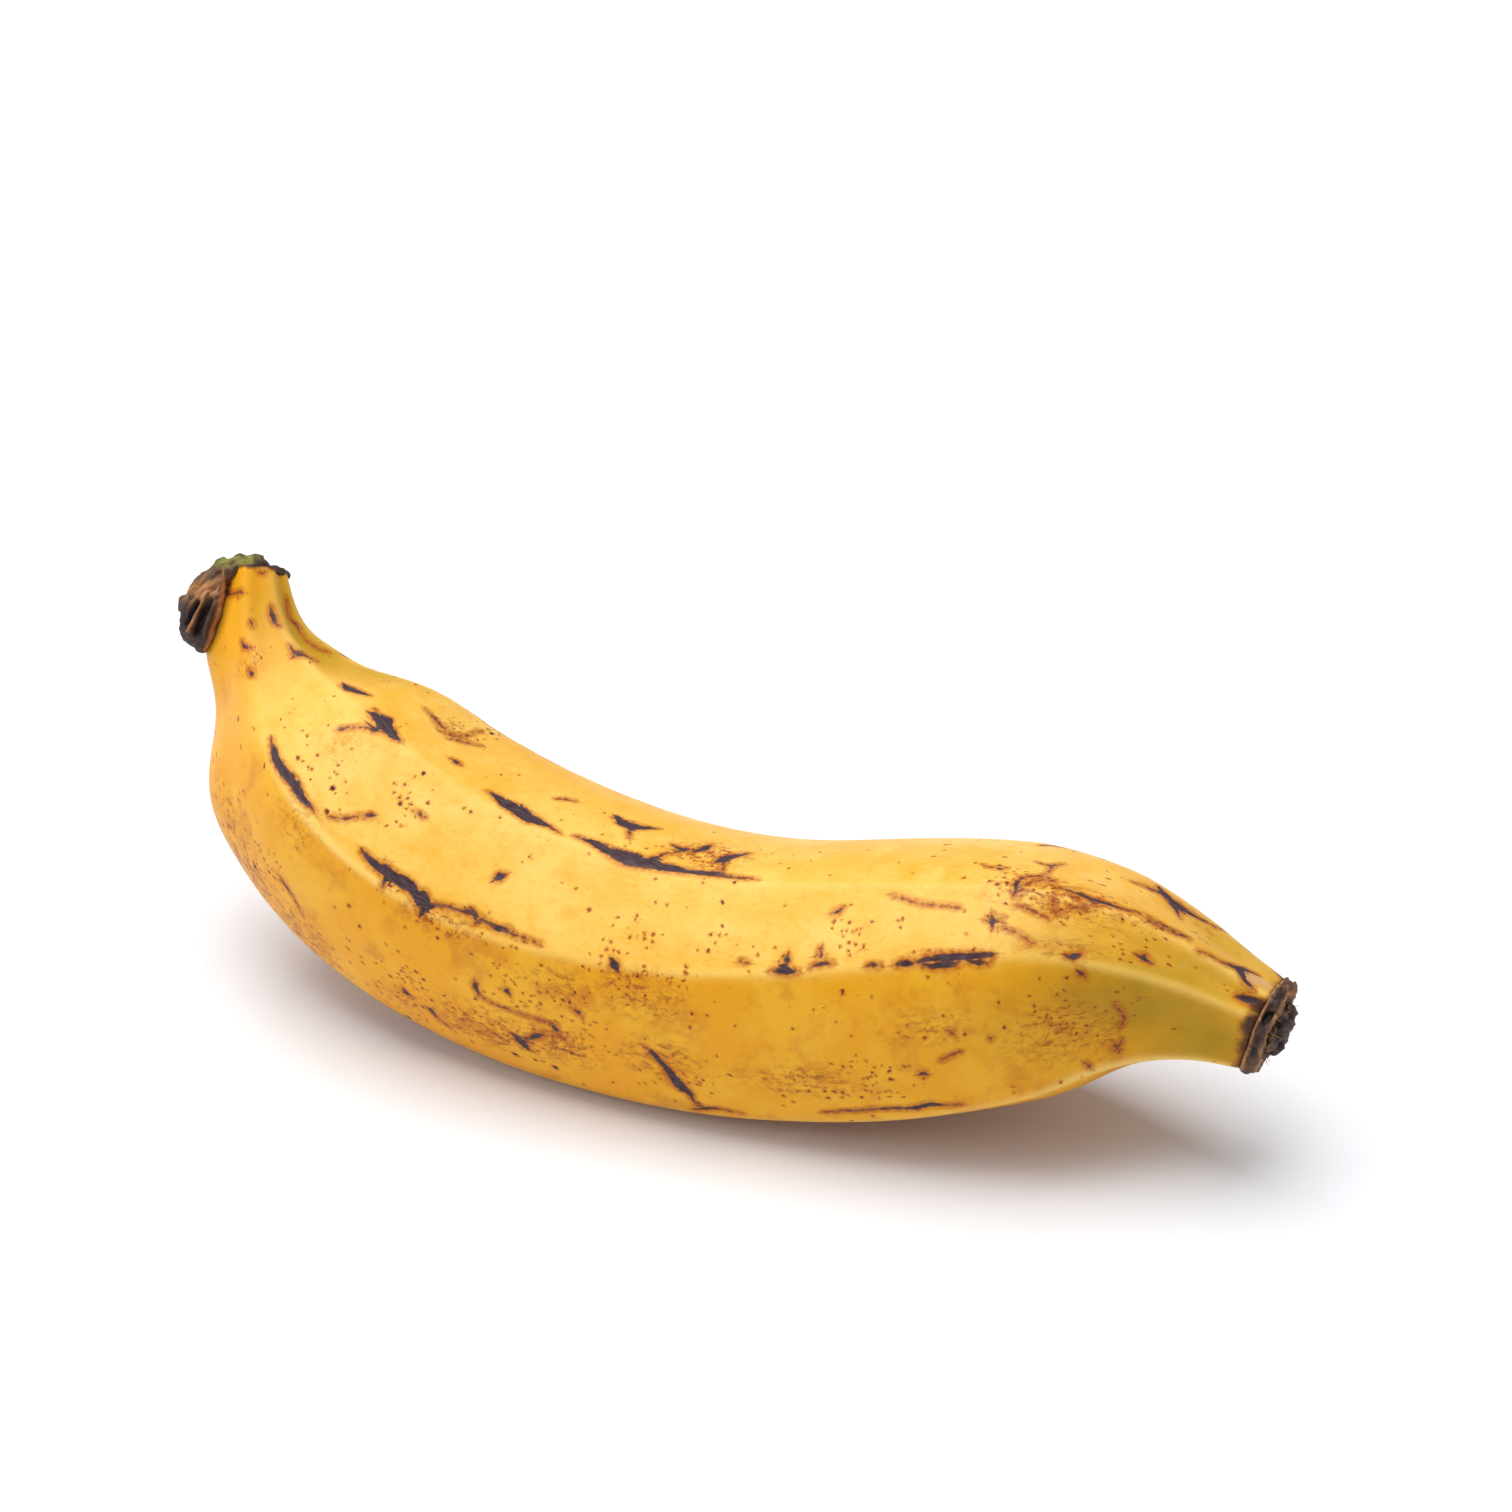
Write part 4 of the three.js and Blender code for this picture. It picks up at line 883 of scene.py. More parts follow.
    browned = node("MULTIPLY", node("POWER", browned, 1.4), node(RAMP, broken, 0.0, 1.0, 0.6, 1.0))
    soft_rim = node("ADD", node("MULTIPLY", wander, 0.9), field["rim"])
    soft_rim = node("MULTIPLY", soft_rim, node(RAMP, field["rim"], 0.05, 0.3, 0.0, 1.0))
    dry = node("MULTIPLY", field["dry"], node(RAMP, grain, 0.35, 0.6, 0.6, 1.0))
    sheen_streaks = node(RAMP, spikes, -0.12, 0.16, 0.0, 0.45)
    layers += [
        (node("MAXIMUM", halos, browned), colours.glow),
        (node(RAMP, soft_rim, 0.1, 0.75, 0.0, 0.6, **SMOOTH), colours.halo),
        (node(RAMP, soft_rim, 0.3, 0.9, 0.0, 0.92, **SMOOTH), colours.dried),
        (dry, colours.dry_skin),
        (node("MULTIPLY", dots, 0.95), colours.speck),
        (node("MULTIPLY", cores, 0.75), colours.bruise),
        (bruised, colours.bruise),
        # Grey streaks inside the bruises: a painted sheen
        (node("MULTIPLY", bruised, sheen_streaks), colours.bruise_sheen),
    ]
    dark = node("MAXIMUM", bruised, cores)
    rough = node("MULTIPLY_ADD", dark, 0.1, node("MULTIPLY_ADD", grain, 0.14, 0.36))
    height = node("MULTIPLY_ADD", grain, 0.5, node("MULTIPLY", fine, 0.35))
    height = node("MULTIPLY_ADD", dark, -0.8, height)
    bump = node("ShaderNodeBump", to={"Strength": 0.6, "Distance": 0.00009, "Height": height})
    return paint(
        material, shader, colours.ripe, layers, Roughness=rough, Normal=bump, IOR=1.45, Specular_IOR_Level=0.22,
        Coat_Weight=0.03, Coat_Roughness=0.3,
    )


def crown_material(colours):
    """The stub where the hand was torn off: skin and fibres that dried brown-black, rough and matt, with tan
    where they frayed and some green skin left on the crest."""
    material, shader, node, field = new_material(
        "plantain_crown_torn_dried", "green_skin", "tan_area", "edge_line", "hollow", "proud", "strand"
    )
    place = node("ShaderNodeTexCoord", out=3)
    fine = node(NOISE, to={"Vector": place, "Scale": 1500.0, "Detail": 3.0})
    spots = node(NOISE, to={"Vector": place, "Scale": 520.0, "Detail": 3.0})
    high = node(RAMP, field["proud"], 0.1, 0.8, 0.0, 0.55, **SMOOTH)
    streak = node(RAMP, field["strand"], 0.3, 0.6, 0.35, 1.0, **SMOOTH)
    skin = node(RAMP, spots, 0.32, 0.58, 0.1, 1.0)
    layers = [
        (node("MULTIPLY", high, node(RAMP, fine, 0.35, 0.65, 0.3, 1.0)), colours.tan),
        (node("MULTIPLY", field["tan_area"], streak), colours.tan),
        # Painted shade: near-black in the folds and towards the stub's outer end
        (node("MULTIPLY", field["hollow"], 0.9), colours.recess_shade),
        (node("MULTIPLY", field["green_skin"], skin), colours.skin),
        (node("MULTIPLY", field["edge_line"], 0.8), colours.tan),
    ]
    height = node("MULTIPLY_ADD", fine, 0.6, node("MULTIPLY", field["strand"], 0.8))
    bump = node("ShaderNodeBump", to={"Strength": 0.8, "Distance": 0.00025, "Height": height})
    return paint(material, shader, colours.dried, layers, Roughness=0.66, Normal=bump, IOR=1.45)


def blossom_material(colours):
    """The dried flower end: shrivelled tissue, brown-black and hard, with a faint sheen on its lumps and
    tan along worn edges."""
    material, shader, node, field = new_material("plantain_blossom_end_dried", "proud", "lip", "groove", "knob")
    place = node("ShaderNodeTexCoord", out=3)
    fine = node(NOISE, to={"Vector": place, "Scale": 1400.0, "Detail": 3.0})
    spots = node(NOISE, to={"Vector": place, "Scale": 600.0, "Detail": 3.0})
    worn = node(RAMP, field["proud"], 0.35, 1.0, 0.0, 0.34, **SMOOTH)
    lip = node("MULTIPLY", field["lip"], node(RAMP, fine, 0.35, 0.6, 0.3, 1.0))
    layers = [
        (node("MULTIPLY", worn, node(RAMP, spots, 0.4, 0.62, 0.2, 1.0)), colours.tan),
        # Grey flecks on the knob's lumps: painted highlights
        (node("MULTIPLY", field["knob"], node(RAMP, spots, 0.45, 0.6, 0.0, 0.6)), colours.slate_highlight),
        # Painted shade: near-black in the pits and dips, where the surface sinks
        (node(RAMP, field["proud"], 0.45, 0.05, 0.0, 0.95, **SMOOTH), colours.recess_shade),
        (node("MULTIPLY", field["groove"], node(RAMP, fine, 0.42, 0.6, 0.0, 0.8)), colours.fibre),
        (lip, colours.tan),
    ]
    rough = node(RAMP, spots, 0.35, 0.65, 0.45, 0.68)
    bump = node("ShaderNodeBump", to={"Strength": 0.8, "Distance": 0.0002, "Height": fine})
    return paint(material, shader, colours.dried, layers, Roughness=rough, Normal=bump, IOR=1.45)


def fibre_material(colours):
    """Loose plant fibres that dried to straw: matt, paler in places."""
    material, shader, node, _ = new_material("plantain_fibre_dried")
    place = node("ShaderNodeTexCoord", out=3)
    spots = node(NOISE, to={"Vector": place, "Scale": 900.0, "Detail": 1.0})
    layers = [(node(RAMP, spots, 0.4, 0.6, 0.0, 1.0), colours.tan)]
    return paint(material, shader, colours.fibre, layers, Roughness=0.7)


def floor_material(stage):
    """Matt white paint: no shine, so that only the soft shadow shows."""
    material, shader, node, _ = new_material("stage_matt_white")
    place = node("ShaderNodeTexCoord", out=3)
    faint = node(NOISE, to={"Vector": place, "Scale": 3.0, "Detail": 1.0})
    layers = [(faint, [c * 0.985 for c in stage.floor_white])]
    return paint(material, shader, stage.floor_white, layers, Roughness=0.95, Specular_IOR_Level=0.1)


def smooth_noise(points, size, seed=0.0):
    """Noise of about -1 to 1 at each point in mm, with features of that size in mm."""
    shift = Vector((seed, seed * 1.7, -seed))
    return np.array([noise.noise(Vector(p) / size + shift) for p in points])


def crown_frame():
    """The stub's own frame in mm: the neck's top, then out to the outer flank, to the front, and up."""
    centre, run, front, up = end_frame(0)
    turn = math.radians(OUTER_FLANK)
    out = math.cos(turn) * front + math.sin(turn) * up
    facing = math.cos(turn + math.pi / 2) * front + math.sin(turn + math.pi / 2) * up
    return centre, np.array([out, facing, -run])


def crown_mass(grain):
    """One closed mesh round all the lumps of the stub, in metres."""
    origin, axes = crown_frame()
    form = bmesh.new()
    for middle, size, lean in CROWN_BLOBS:
        turn = math.radians(lean)
        long = np.array([-math.sin(turn), 0, math.cos(turn)])
        wide = np.array([math.cos(turn), 0, math.sin(turn)])
        basis = np.array([wide, (0, 1, 0), long]) @ axes
        at = Matrix((basis * np.array(size)[:, None]).T.tolist()).to_4x4()
        at.translation = origin + np.array(middle) @ axes
        bmesh.ops.create_icosphere(form, subdivisions=4, radius=1.0, matrix=Matrix.Scale(MM, 4) @ at)
    bmesh.ops.recalc_face_normals(form, faces=form.faces)
    mesh = bpy.data.meshes.new("crown_stub")
    form.to_mesh(mesh)
    form.free()
    obj = new_object("crown_stub", mesh)
    merged = obj.modifiers.new("one_mass", "REMESH")
    merged.mode, merged.voxel_size = "VOXEL", grain
    melted = obj.modifiers.new("melted", "SMOOTH")
    melted.factor, melted.iterations = 0.5, 8
    return plain_mesh(obj)


def path_distance(out, up, path):
    """Distance in mm from each point to a path, both seen from the front of the stub."""
    far = np.full(len(out), 50.0)
    for (x1, y1), (x2, y2) in zip(path, path[1:]):
        dx, dy = x2 - x1, y2 - y1
        part = np.clip(((out - x1) * dx + (up - y1) * dy) / (dx * dx + dy * dy), 0, 1)
        far = np.minimum(far, np.hypot(out - x1 - part * dx, up - y1 - part * dy))
    return far


def fold_depth(out, up, facing):
    """How far the folds push each point in, in mm; they show on the front of the stub."""
    depth = np.zeros(len(out))
    for path, half, push in CROWN_FOLDS:
        depth += push * np.exp(-((path_distance(out, up, path) / half) ** 2))
    return depth * np.clip((facing + 0.5) / 2.5, 0, 1)


def spot(out, up, x, y, wide, tall):
    """A soft spot of the stub's front: 1 in its middle, fading over its half width and half height."""
    return np.exp(-(((out - x) / wide) ** 2 + ((up - y) / tall) ** 2))


def fibres_tree():
    """Bent, tapered strands, one on each point, along the point's own direction."""
    tree, node, given = named_tree("loose_fibres", {
        "Length": 0.002, "Thickness": FIBRE_THICKNESS, "Spread": FIBRE_SPREAD, "Seed": 0,
    })
    length, spread, seed = given["Length"], given["Spread"], given["Seed"]
    bend, half = node("MULTIPLY", length, 0.16), node("MULTIPLY", length, 0.5)
    strand = node("GeometryNodeCurveQuadraticBezier", to={
        "Resolution": 4, "Start": (0, 0, 0), "Middle": node("ShaderNodeCombineXYZ", bend, 0.0, half),
        "End": node("ShaderNodeCombineXYZ", 0.0, 0.0, length),
    })
    thin = node(RAMP, node("GeometryNodeSplineParameter"), 0.0, 1.0, 1.0, 0.3)
    thin = node("MULTIPLY", thin, given["Thickness"])
    ring = node("GeometryNodeCurvePrimitiveCircle", to={"Resolution": 5, "Radius": 0.5})
    blade = node("GeometryNodeCurveToMesh", to={
        "Curve": strand, "Profile Curve": ring, "Scale": thin, "Fill Caps": True,
    })
    way = node("GeometryNodeInputNamedAttribute", "way", data_type="FLOAT_VECTOR")
    aim = node("FunctionNodeAlignRotationToVector", to={"Vector": way}, axis="Z")
    back = node("MULTIPLY", spread, -1.0)
    low = node("ShaderNodeCombineXYZ", back, back, -3.1)
    high = node("ShaderNodeCombineXYZ", spread, spread, 3.1)
    turn = node("FunctionNodeRandomValue", to={"Min": low, "Max": high, "Seed": seed}, data_type="FLOAT_VECTOR")
    turned = node("FunctionNodeRotateRotation", to={"Rotation": aim, "Rotate By": turn}, rotation_space="LOCAL")
    size = node("FunctionNodeRandomValue", to={2: 0.45, 3: 1.1, "Seed": seed}, out=1, data_type="FLOAT")
    placed = node("GeometryNodeInstanceOnPoints", to={
        "Points": given["Mesh"], "Instance": blade, "Rotation": turned, "Scale": size,
    })
    close_tree(tree, placed, given["Material"])
    return tree


def blossom_points(rows, sides):
    """The collar, groove and knob as rows of rings in mm, with how proud each point stands and its row."""
    centre, run, front, up = end_frame(1)
    steps = np.linspace(0, len(BLOSSOM) - 1, rows)
    past = table(list(enumerate(b[0] for b in BLOSSOM)), steps)
    radius = table(list(enumerate(b[1] for b in BLOSSOM)), steps)
    angles = np.arange(sides) * 2 * np.pi / sides
    where, half, _ = faces_between_ridges(np.array([1.0]), angles)
    inward = 1 - np.abs(2 * where[0] - 1)
    chord = 1 - np.cos(half[0]) / np.cos((2 * where[0] - 1) * half[0])
    reach = 1 - 0.6 * chord * inward * 1.2 / (inward + 0.2) - 0.06 * np.sin(np.pi * where[0]) ** 2
    reach /= reach.mean()
    rough = np.minimum(1, steps / 2)[:, None] * 0.045
    lobes = np.sin(5 * angles + 0.6)[None] + 0.7 * np.sin(8 * angles[None] + 2 * steps[:, None])
    body = 1 + (reach[None] - 1) * (1 - steps[:, None] / 12)
    ring = radius[:, None] * body * (1 + rough * lobes)
    ahead = past[:, None] + 0.2 * rough * lobes * radius[:, None] / 9
    around = np.cos(angles)[None, :, None] * front + np.sin(angles)[None, :, None] * up
    points = centre + ahead[..., None] * run + ring[..., None] * around
    # Which way each point faces, from its neighbours
    d_row = np.gradient(points, axis=0)
    d_side = np.roll(points, -1, axis=1) - np.roll(points, 1, axis=1)
    facing = np.cross(d_row, d_side)
    facing /= np.linalg.norm(facing, axis=2, keepdims=True) + 1e-9
    flat = points.reshape(-1, 3)
    lumps = smooth_noise(flat, 2.6, 3.0).reshape(rows, sides)
    creases = 1 - 2 * np.abs(smooth_noise(flat, 1.7, 9.0)).reshape(rows, sides)
    grain = smooth_noise(flat, 0.7, 5.0).reshape(rows, sides)
    flutes = np.sin(26 * angles[None] + 2.2 * lumps) * np.exp(-(((steps[:, None] - GROOVE_ROW) / 1.6) ** 2))
    last = len(BLOSSOM) - 1
    eased = np.clip(steps / 0.8, 0.15, 1)[:, None] * np.clip((last - steps) / 0.5 + 0.4, 0, 1)[:, None]
    knob = np.clip(steps - KNOB_ROW, 0, 1)[:, None]
    raised = (0.32 + 0.3 * knob) * lumps + (0.34 + 0.4 * knob) * creases + 0.12 * grain
    raised = eased * raised + 0.22 * flutes
    # Two thin lips stand up on the collar: its edge next to the peel, and its outer rim
    for row, tall in BLOSSOM_LIPS:
        bent = row + 0.5 * np.sin(3 * angles + row) + 0.3 * np.sin(7 * angles)
        raised += tall * np.exp(-(((steps[:, None] - bent[None]) / 0.32) ** 2))
    for row, angle, wide, deep in BLOSSOM_PITS:
        far = ((steps[:, None] - row) / (wide * 0.75)) ** 2 + (turn_from(angles, angle) * ring / wide) ** 2
        raised -= deep * np.exp(-(far**1.5))
    return points + raised[..., None] * facing, raised, steps


def unroll(mesh, rings, sides):
    """A UV map in mm: along the fruit, and round it by its usual girth. The last face of each ring ends at the
    full girth, not back at nought."""
    loops = np.empty(len(mesh.loops), np.int32)
    mesh.loops.foreach_get("vertex_index", loops)
    starts = np.empty(len(mesh.polygons), np.int32)
    totals = np.empty(len(mesh.polygons), np.int32)
    mesh.polygons.foreach_get("loop_start", starts)
    mesh.polygons.foreach_get("loop_total", totals)
    ring, column = loops // sides, (loops % sides).astype(float)
    face = np.repeat(np.arange(len(starts)), totals)
    wide = np.zeros(len(starts))
    np.maximum.at(wide, face, column)
    column = np.where((wide[face] > sides / 2) & (column < 1), column + sides, column)
    uv = np.stack([np.minimum(ring, rings - 1) / (rings - 1) * LENGTH, column / sides * GIRTH], axis=1)
    layer = mesh.uv_layers.new(name="peel_mm")
    layer.data.foreach_set("uv", uv.astype(np.float32).ravel())


class PlantainOperator:
    """What all the operators share: the settings, and an error where there is no scene to build in."""

    bl_options = {"REGISTER", "UNDO"}

    @classmethod
    def poll(cls, context):
        return context.scene is not None


class PLANTAIN_OT_peel(PlantainOperator, bpy.types.Operator):
    """Builds the five-ridged peel with its bruises, specks and relief"""

    bl_idname = "plantain.peel"
    bl_label = "Peel"

    def execute(self, context):
        shape, colours = context.scene.plantain_shape, context.scene.plantain_colours
        rings, sides = shape.rings, shape.sides
        shares = np.linspace(0, 1, rings)
        angles = SEAM + np.arange(sides) * 2 * np.pi / sides
        centre, run, front, up = spine(shares)
        radius = table(RADIUS, shares)
        outward = np.cos(angles)[None, :, None] * front[:, None] + np.sin(angles)[None, :, None] * up[:, None]
        outward = outward * radius[:, None, None]
        where, half, crease = faces_between_ridges(shares, angles)
        material = peel_material(colours)
        mesh = tube_mesh("plantain_peel", (centre[:, None] + outward) * MM)
        poles = np.zeros((2, 1))
        whole = lambda field: np.vstack([np.broadcast_to(field, (rings, sides)).reshape(-1, 1), poles]).ravel()
        even, more, toward = NECK_LIP
        lip = even + more * np.cos(angles - math.radians(toward))
        lip = lip[None] * np.exp(-((shares * LENGTH / 3.5) ** 2))[:, None]
        middle = (centre[:, None] - lip[..., None] * run[:, None]).reshape(-1, 3)
        store(
            mesh, centre=np.vstack([middle, centre[:1], centre[-1:]]) * MM,
            outward=np.vstack([outward.reshape(-1, 3), np.zeros((2, 3))]) * MM,
            where=whole(where), half=whole(half), swell=whole(swell(shares, angles)),
            flatness=whole(table(FLATNESS, shares)[:, None]), hollow=whole(table(HOLLOW, shares)[:, None]),
        )
        obj = new_object("plantain_peel", mesh)
        grow(obj, peel_tree(), {
            "Face flatness": shape.flatness, "Ridge softness": shape.ridge_softness, "Material": material,
        })
        mesh = obj.data
        drop(mesh, "centre", "outward", "where", "half", "flatness", "hollow", "swell")
        points, facing = vectors(mesh.vertices, "co") / MM, vectors(mesh.vertex_normals, "vector")
        side, wide = mark_fields(points, facing, (rings, sides), MARKS + HIDDEN_MARKS)
        # Painted shade: the faces that look down or to the side are painted a deeper yellow than those that
        # look up, and the underside a duller yellow still
        store(
            mesh, side=side, half=wide, dented=np.clip((wide - np.abs(side)) / 0.6 + 0.4, 0, 1),
            under=np.clip((0.62 - facing[:, 2]) / 0.3, 0, 1), crease=whole(crease),
            belly=np.clip((-0.45 - facing[:, 2]) / 0.35, 0, 1), deep=whole(table(DEEP_YELLOW, shares)[:, None]),
            wrinkle=whole(table(WRINKLES, shares)[:, None]), turn=whole(angles[None]),
            along=whole(shares[:, None] * LENGTH),
        )
        soft = {
            "smudge": SMUDGES, "speckle": SPECKLES, "green": GREENS, "rim": RIM_SHADES, "dry": DRY,
            "pale_and_highlight": PALES_AND_HIGHLIGHTS,
        }
        store(mesh, **{name: whole(patches(spots, shares, angles)) for name, spots in soft.items()})
        unroll(mesh, rings, sides)
        grow(obj, relief_tree(), {
            "Pore depth": shape.pore_depth, "Wrinkle depth": shape.wrinkle_depth,
            "Bruise sink": shape.bruise_sink, "Crease rise": shape.crease_rise, "Seed": float(shape.seed),
            "Material": material,
        })
        drop(obj.data, "wrinkle", "dented", "turn", "along")
        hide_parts(CAD_NODE)
        finish_piece(obj)
        return {"FINISHED"}


class PLANTAIN_OT_crown(PlantainOperator, bpy.types.Operator):
    """Builds the torn crown stub on the neck"""

    bl_idname = "plantain.crown"
    bl_label = "Crown stub"

    def execute(self, context):
        shape, colours = context.scene.plantain_shape, context.scene.plantain_colours
        obj = crown_mass(shape.crown_grain)
        mesh = obj.data
        origin, axes = crown_frame()
        points, facing = vectors(mesh.vertices, "co") / MM, vectors(mesh.vertex_normals, "vector")
        out, ahead, up = ((points - origin) @ axes.T).T
        # Strands run from the crest down and outwards
        slant = math.radians(38)
        across = out * math.cos(slant) + up * math.sin(slant)
        along = -out * math.sin(slant) + up * math.cos(slant)
        strand = smooth_noise(np.stack([across / 0.55, ahead / 0.9, along / 3.2], axis=1), 1.0, 4.0)
        lumps = smooth_noise(points, 3.1, 2.0)
        small = smooth_noise(points, 1.1, 6.0)
        folds = fold_depth(out, up, ahead)
        raised = 0.22 * strand + 0.5 * lumps + 0.2 * small - folds
        points = points + raised[:, None] * facing
        mesh.vertices.foreach_set("co", (points * MM).astype(np.float32).ravel())
        mesh.update()
        front = np.clip((ahead + 2.5) / 3, 0, 1)
        worn = np.maximum(1.1 * spot(out, up, 9.8, -2.6, 5.6, 2.6), 0.8 * spot(out, up, 6.8, -2.8, 1.2, 2.2))
        tan = np.maximum(front * worn, np.clip(-folds / 0.6, 0, 1))
        tan = np.maximum(tan, 0.6 * (1 - front) * np.clip(0.5 + small, 0, 1))
        skin = np.clip((up - 1.7 + 0.2 * out + 0.5 * small) / 0.7, 0, 1) * np.exp(-(((out - 3.2) / 5.6) ** 4))
        skin = skin * (1 - 0.75 * np.clip((up - 3.5 + 0.6 * lumps) / 0.5, 0, 1))
        skin = skin * (1 - 0.9 * front * spot(out, up, 7.4, 0.8, 1.3, 1.5))
        # Painted shade: dark in the folds and towards the outer end of the stub
        hollow = np.maximum(np.clip(folds / 1.0, 0, 1), 0.6 * np.clip((out - 13.2 + 0.6 * small) / 1.5, 0, 1))
        edge = np.exp(-((path_distance(out, up, CROWN_RIM) / 0.28) ** 2)) * front
        store(
            mesh, green_skin=skin, tan_area=tan, edge_line=edge, hollow=hollow * front,
            strand=0.5 + 0.5 * strand, proud=np.clip(0.5 + raised, 0, 1) * (0.35 + 0.4 * (1 - front)),
        )
        mesh.materials.clear()
        mesh.materials.append(crown_material(colours))
        finish_piece(obj)
        return {"FINISHED"}


class PLANTAIN_OT_blossom(PlantainOperator, bpy.types.Operator):
    """Builds the dried blossom end: collar, groove and knob"""

    bl_idname = "plantain.blossom"
    bl_label = "Blossom end"

    def execute(self, context):
        colours = context.scene.plantain_colours
        rows, sides = BLOSSOM_ROWS, BLOSSOM_SIDES
        points, raised, steps = blossom_points(rows, sides)
        centre, run, _, _ = end_frame(1)
        inside, share = BLOSSOM_TUCK
        tucked = centre - inside * run + (points[0] - centre) * share
        mesh = tube_mesh("blossom_end", np.vstack([tucked[None], points]) * MM)
        whole = lambda field: np.concatenate([field[:1].ravel(), field.ravel(), [0.0, float(field[-1].mean())]])
        row = np.broadcast_to(steps[:, None], (rows, sides))
        near = lambda at, wide: np.exp(-(((row - at) / wide) ** 2))
        store(
            mesh, proud=whole(np.clip(0.35 + 0.7 * raised, 0, 1)),
            lip=whole(near(0.5, 0.4) + 0.8 * near(3.4, 0.4)), groove=whole(near(GROOVE_ROW, 1.3)),
            knob=whole(np.clip((row - 8.0) / 1.2, 0, 1)),
        )
        obj = new_object("blossom_end", mesh)
        mesh.polygons.foreach_set("use_smooth", [True] * len(mesh.polygons))
        mesh.materials.append(blossom_material(colours))
        finish_piece(obj)
        return {"FINISHED"}


class PLANTAIN_OT_fibres(PlantainOperator, bpy.types.Operator):
    """Builds the loose dry fibres in the blossom end's groove and on the stub"""

    bl_idname = "plantain.fibres"
    bl_label = "Loose fibres"

    def execute(self, context):
        shape, colours = context.scene.plantain_shape, context.scene.plantain_colours
        centre, run, front, up = end_frame(1)
        spots, ways = [], []
        for k in range(GROOVE_FIBRES):
            turn = k * GOLDEN_ANGLE
            reach = 5.6 + 0.5 * math.sin(5.3 * k)
            aside = math.cos(turn) * front + math.sin(turn) * up
            spots.append(centre + (2.3 + 0.5 * math.sin(3.1 * k)) * run + reach * aside)
            ways.append(0.55 * aside + 0.8 * run)
        origin, axes = crown_frame()
        for k in range(STUB_FIBRES):
            out, rise = 7.2 + 4.6 * ((k * 0.618) % 1), -1.4 - 2.4 * ((k * 0.382) % 1)
            spots.append(origin + np.array([out, 4.9, rise]) @ axes)
            ways.append(np.array([0.75, -0.1, -0.6]) @ axes)
        mesh = bpy.data.meshes.new("loose_fibres")
        mesh.from_pydata([(s * MM).tolist() for s in spots], [], [])
        store(mesh, way=np.array(ways))
        obj = new_object("loose_fibres", mesh)
        grow(obj, fibres_tree(), {
            "Length": shape.fibre_length, "Thickness": FIBRE_THICKNESS, "Spread": FIBRE_SPREAD,
            "Seed": shape.seed, "Material": fibre_material(colours),
        })
        finish_piece(obj)
        return {"FINISHED"}


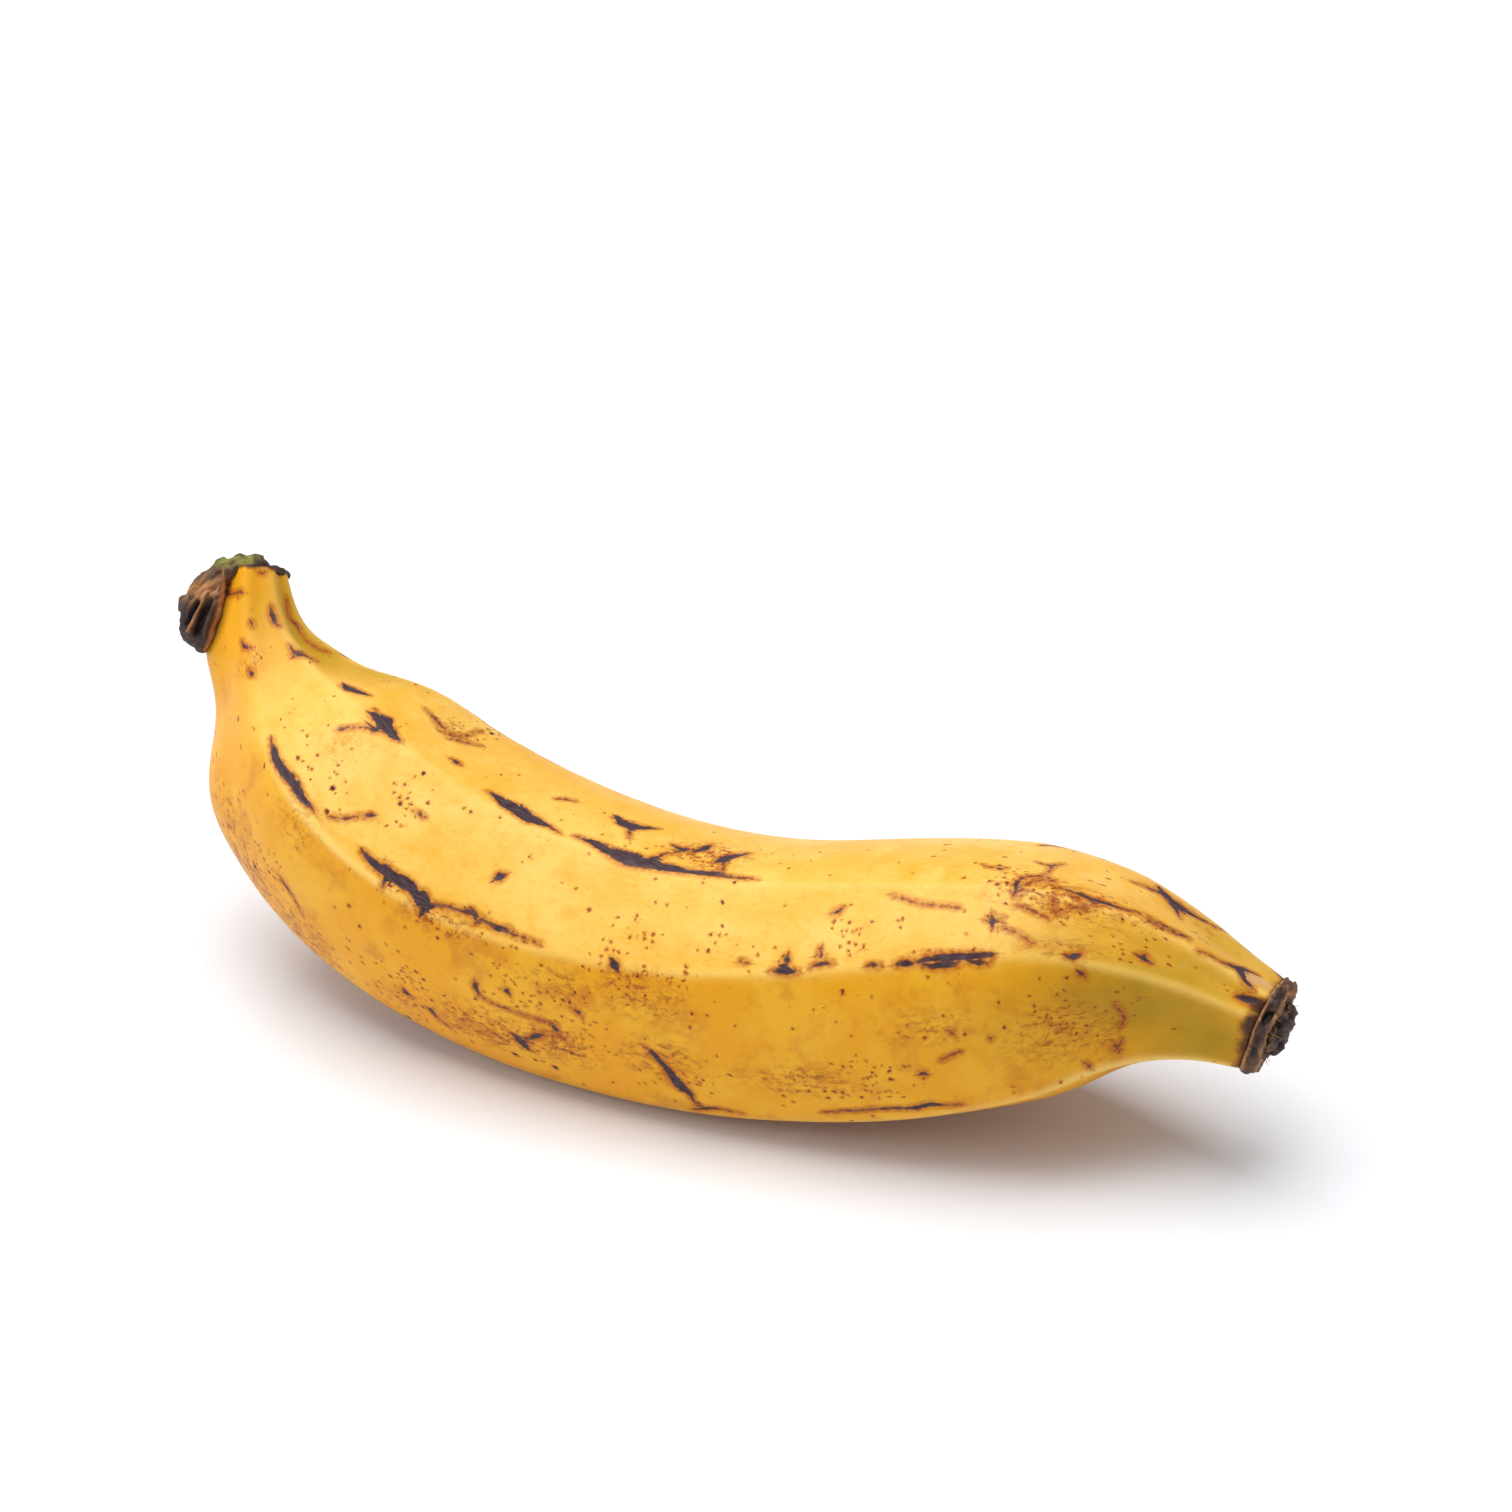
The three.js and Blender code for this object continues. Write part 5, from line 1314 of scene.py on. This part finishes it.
class PLANTAIN_OT_stage(PlantainOperator, bpy.types.Operator):
    """Builds the white floor, the soft light and the camera"""

    bl_idname = "plantain.stage"
    bl_label = "Stage"

    def execute(self, context):
        scene, stage = context.scene, context.scene.plantain_stage
        mesh = bpy.data.meshes.new("stage_floor")
        corners = ((-1, -1), (1, -1), (1, 1), (-1, 1))
        mesh.from_pydata([(x * FLOOR_HALF, y * FLOOR_HALF, 0) for x, y in corners], [], [(0, 1, 2, 3)])
        mesh.materials.append(floor_material(stage))
        floor = new_object("stage_floor", mesh)
        world = bpy.data.worlds.new("stage_light")
        scene.world = world
        world.use_nodes = True
        sky = next(n for n in world.node_tree.nodes if n.type == "BACKGROUND")
        sky.inputs["Color"].default_value = (1.0, 1.0, 1.0, 1.0)
        sky.inputs["Strength"].default_value = stage.sky
        for name, place, size, share in LAMPS:
            lamp = bpy.data.lights.new(name, "AREA")
            lamp.shape, lamp.size, lamp.energy = "SQUARE", size, stage.key * share
            holder = bpy.data.objects.new(name, lamp)
            scene.collection.objects.link(holder)
            holder.location = place
            holder.rotation_euler = (Vector(place) - Vector(LAMPS_AIM)).to_track_quat("Z", "Y").to_euler()
        camera = bpy.data.cameras.new("camera")
        holder = bpy.data.objects.new("camera", camera)
        scene.collection.objects.link(holder)
        camera.lens, camera.sensor_width = stage.lens, 36.0
        camera.clip_start, camera.clip_end = 0.01, 20.0
        a, e = stage.azimuth, stage.elevation
        toward = Vector((math.sin(a) * math.cos(e), -math.cos(a) * math.cos(e), math.sin(e)))
        holder.location = Vector(LOOK_AT) * MM + toward * stage.distance
        holder.rotation_euler = toward.to_track_quat("Z", "Y").to_euler()
        scene.camera = holder
        scene.view_settings.view_transform = "Standard"
        return {"FINISHED"}


GROUPS = {"plantain_shape": PlantainShape, "plantain_colours": PlantainColours, "plantain_stage": PlantainStage}
OPERATORS = (PLANTAIN_OT_peel, PLANTAIN_OT_crown, PLANTAIN_OT_blossom, PLANTAIN_OT_fibres, PLANTAIN_OT_stage)


class PLANTAIN_PT_panel(bpy.types.Panel):
    """Lists the pieces and the settings they are built from"""

    bl_idname = "PLANTAIN_PT_panel"
    bl_label = "Plantain"
    bl_space_type = "VIEW_3D"
    bl_region_type = "UI"
    bl_category = "Plantain"

    def draw(self, context):
        for operator in OPERATORS:
            self.layout.operator(operator.bl_idname)
        for key, kind in GROUPS.items():
            box = self.layout.box()
            for name in kind.__annotations__:
                box.prop(getattr(context.scene, key), name)


def register():
    for made in (*GROUPS.values(), *OPERATORS, PLANTAIN_PT_panel):
        bpy.utils.register_class(made)
    for name, group in GROUPS.items():
        setattr(bpy.types.Scene, name, PointerProperty(type=group))


def unregister():
    for name in GROUPS:
        delattr(bpy.types.Scene, name)
    for made in reversed((*GROUPS.values(), *OPERATORS, PLANTAIN_PT_panel)):
        bpy.utils.unregister_class(made)


def main():
    register()
    bpy.ops.plantain.peel()
    bpy.ops.plantain.crown()
    bpy.ops.plantain.blossom()
    bpy.ops.plantain.fibres()
    bpy.ops.plantain.stage()


if __name__ == "__main__":
    main()
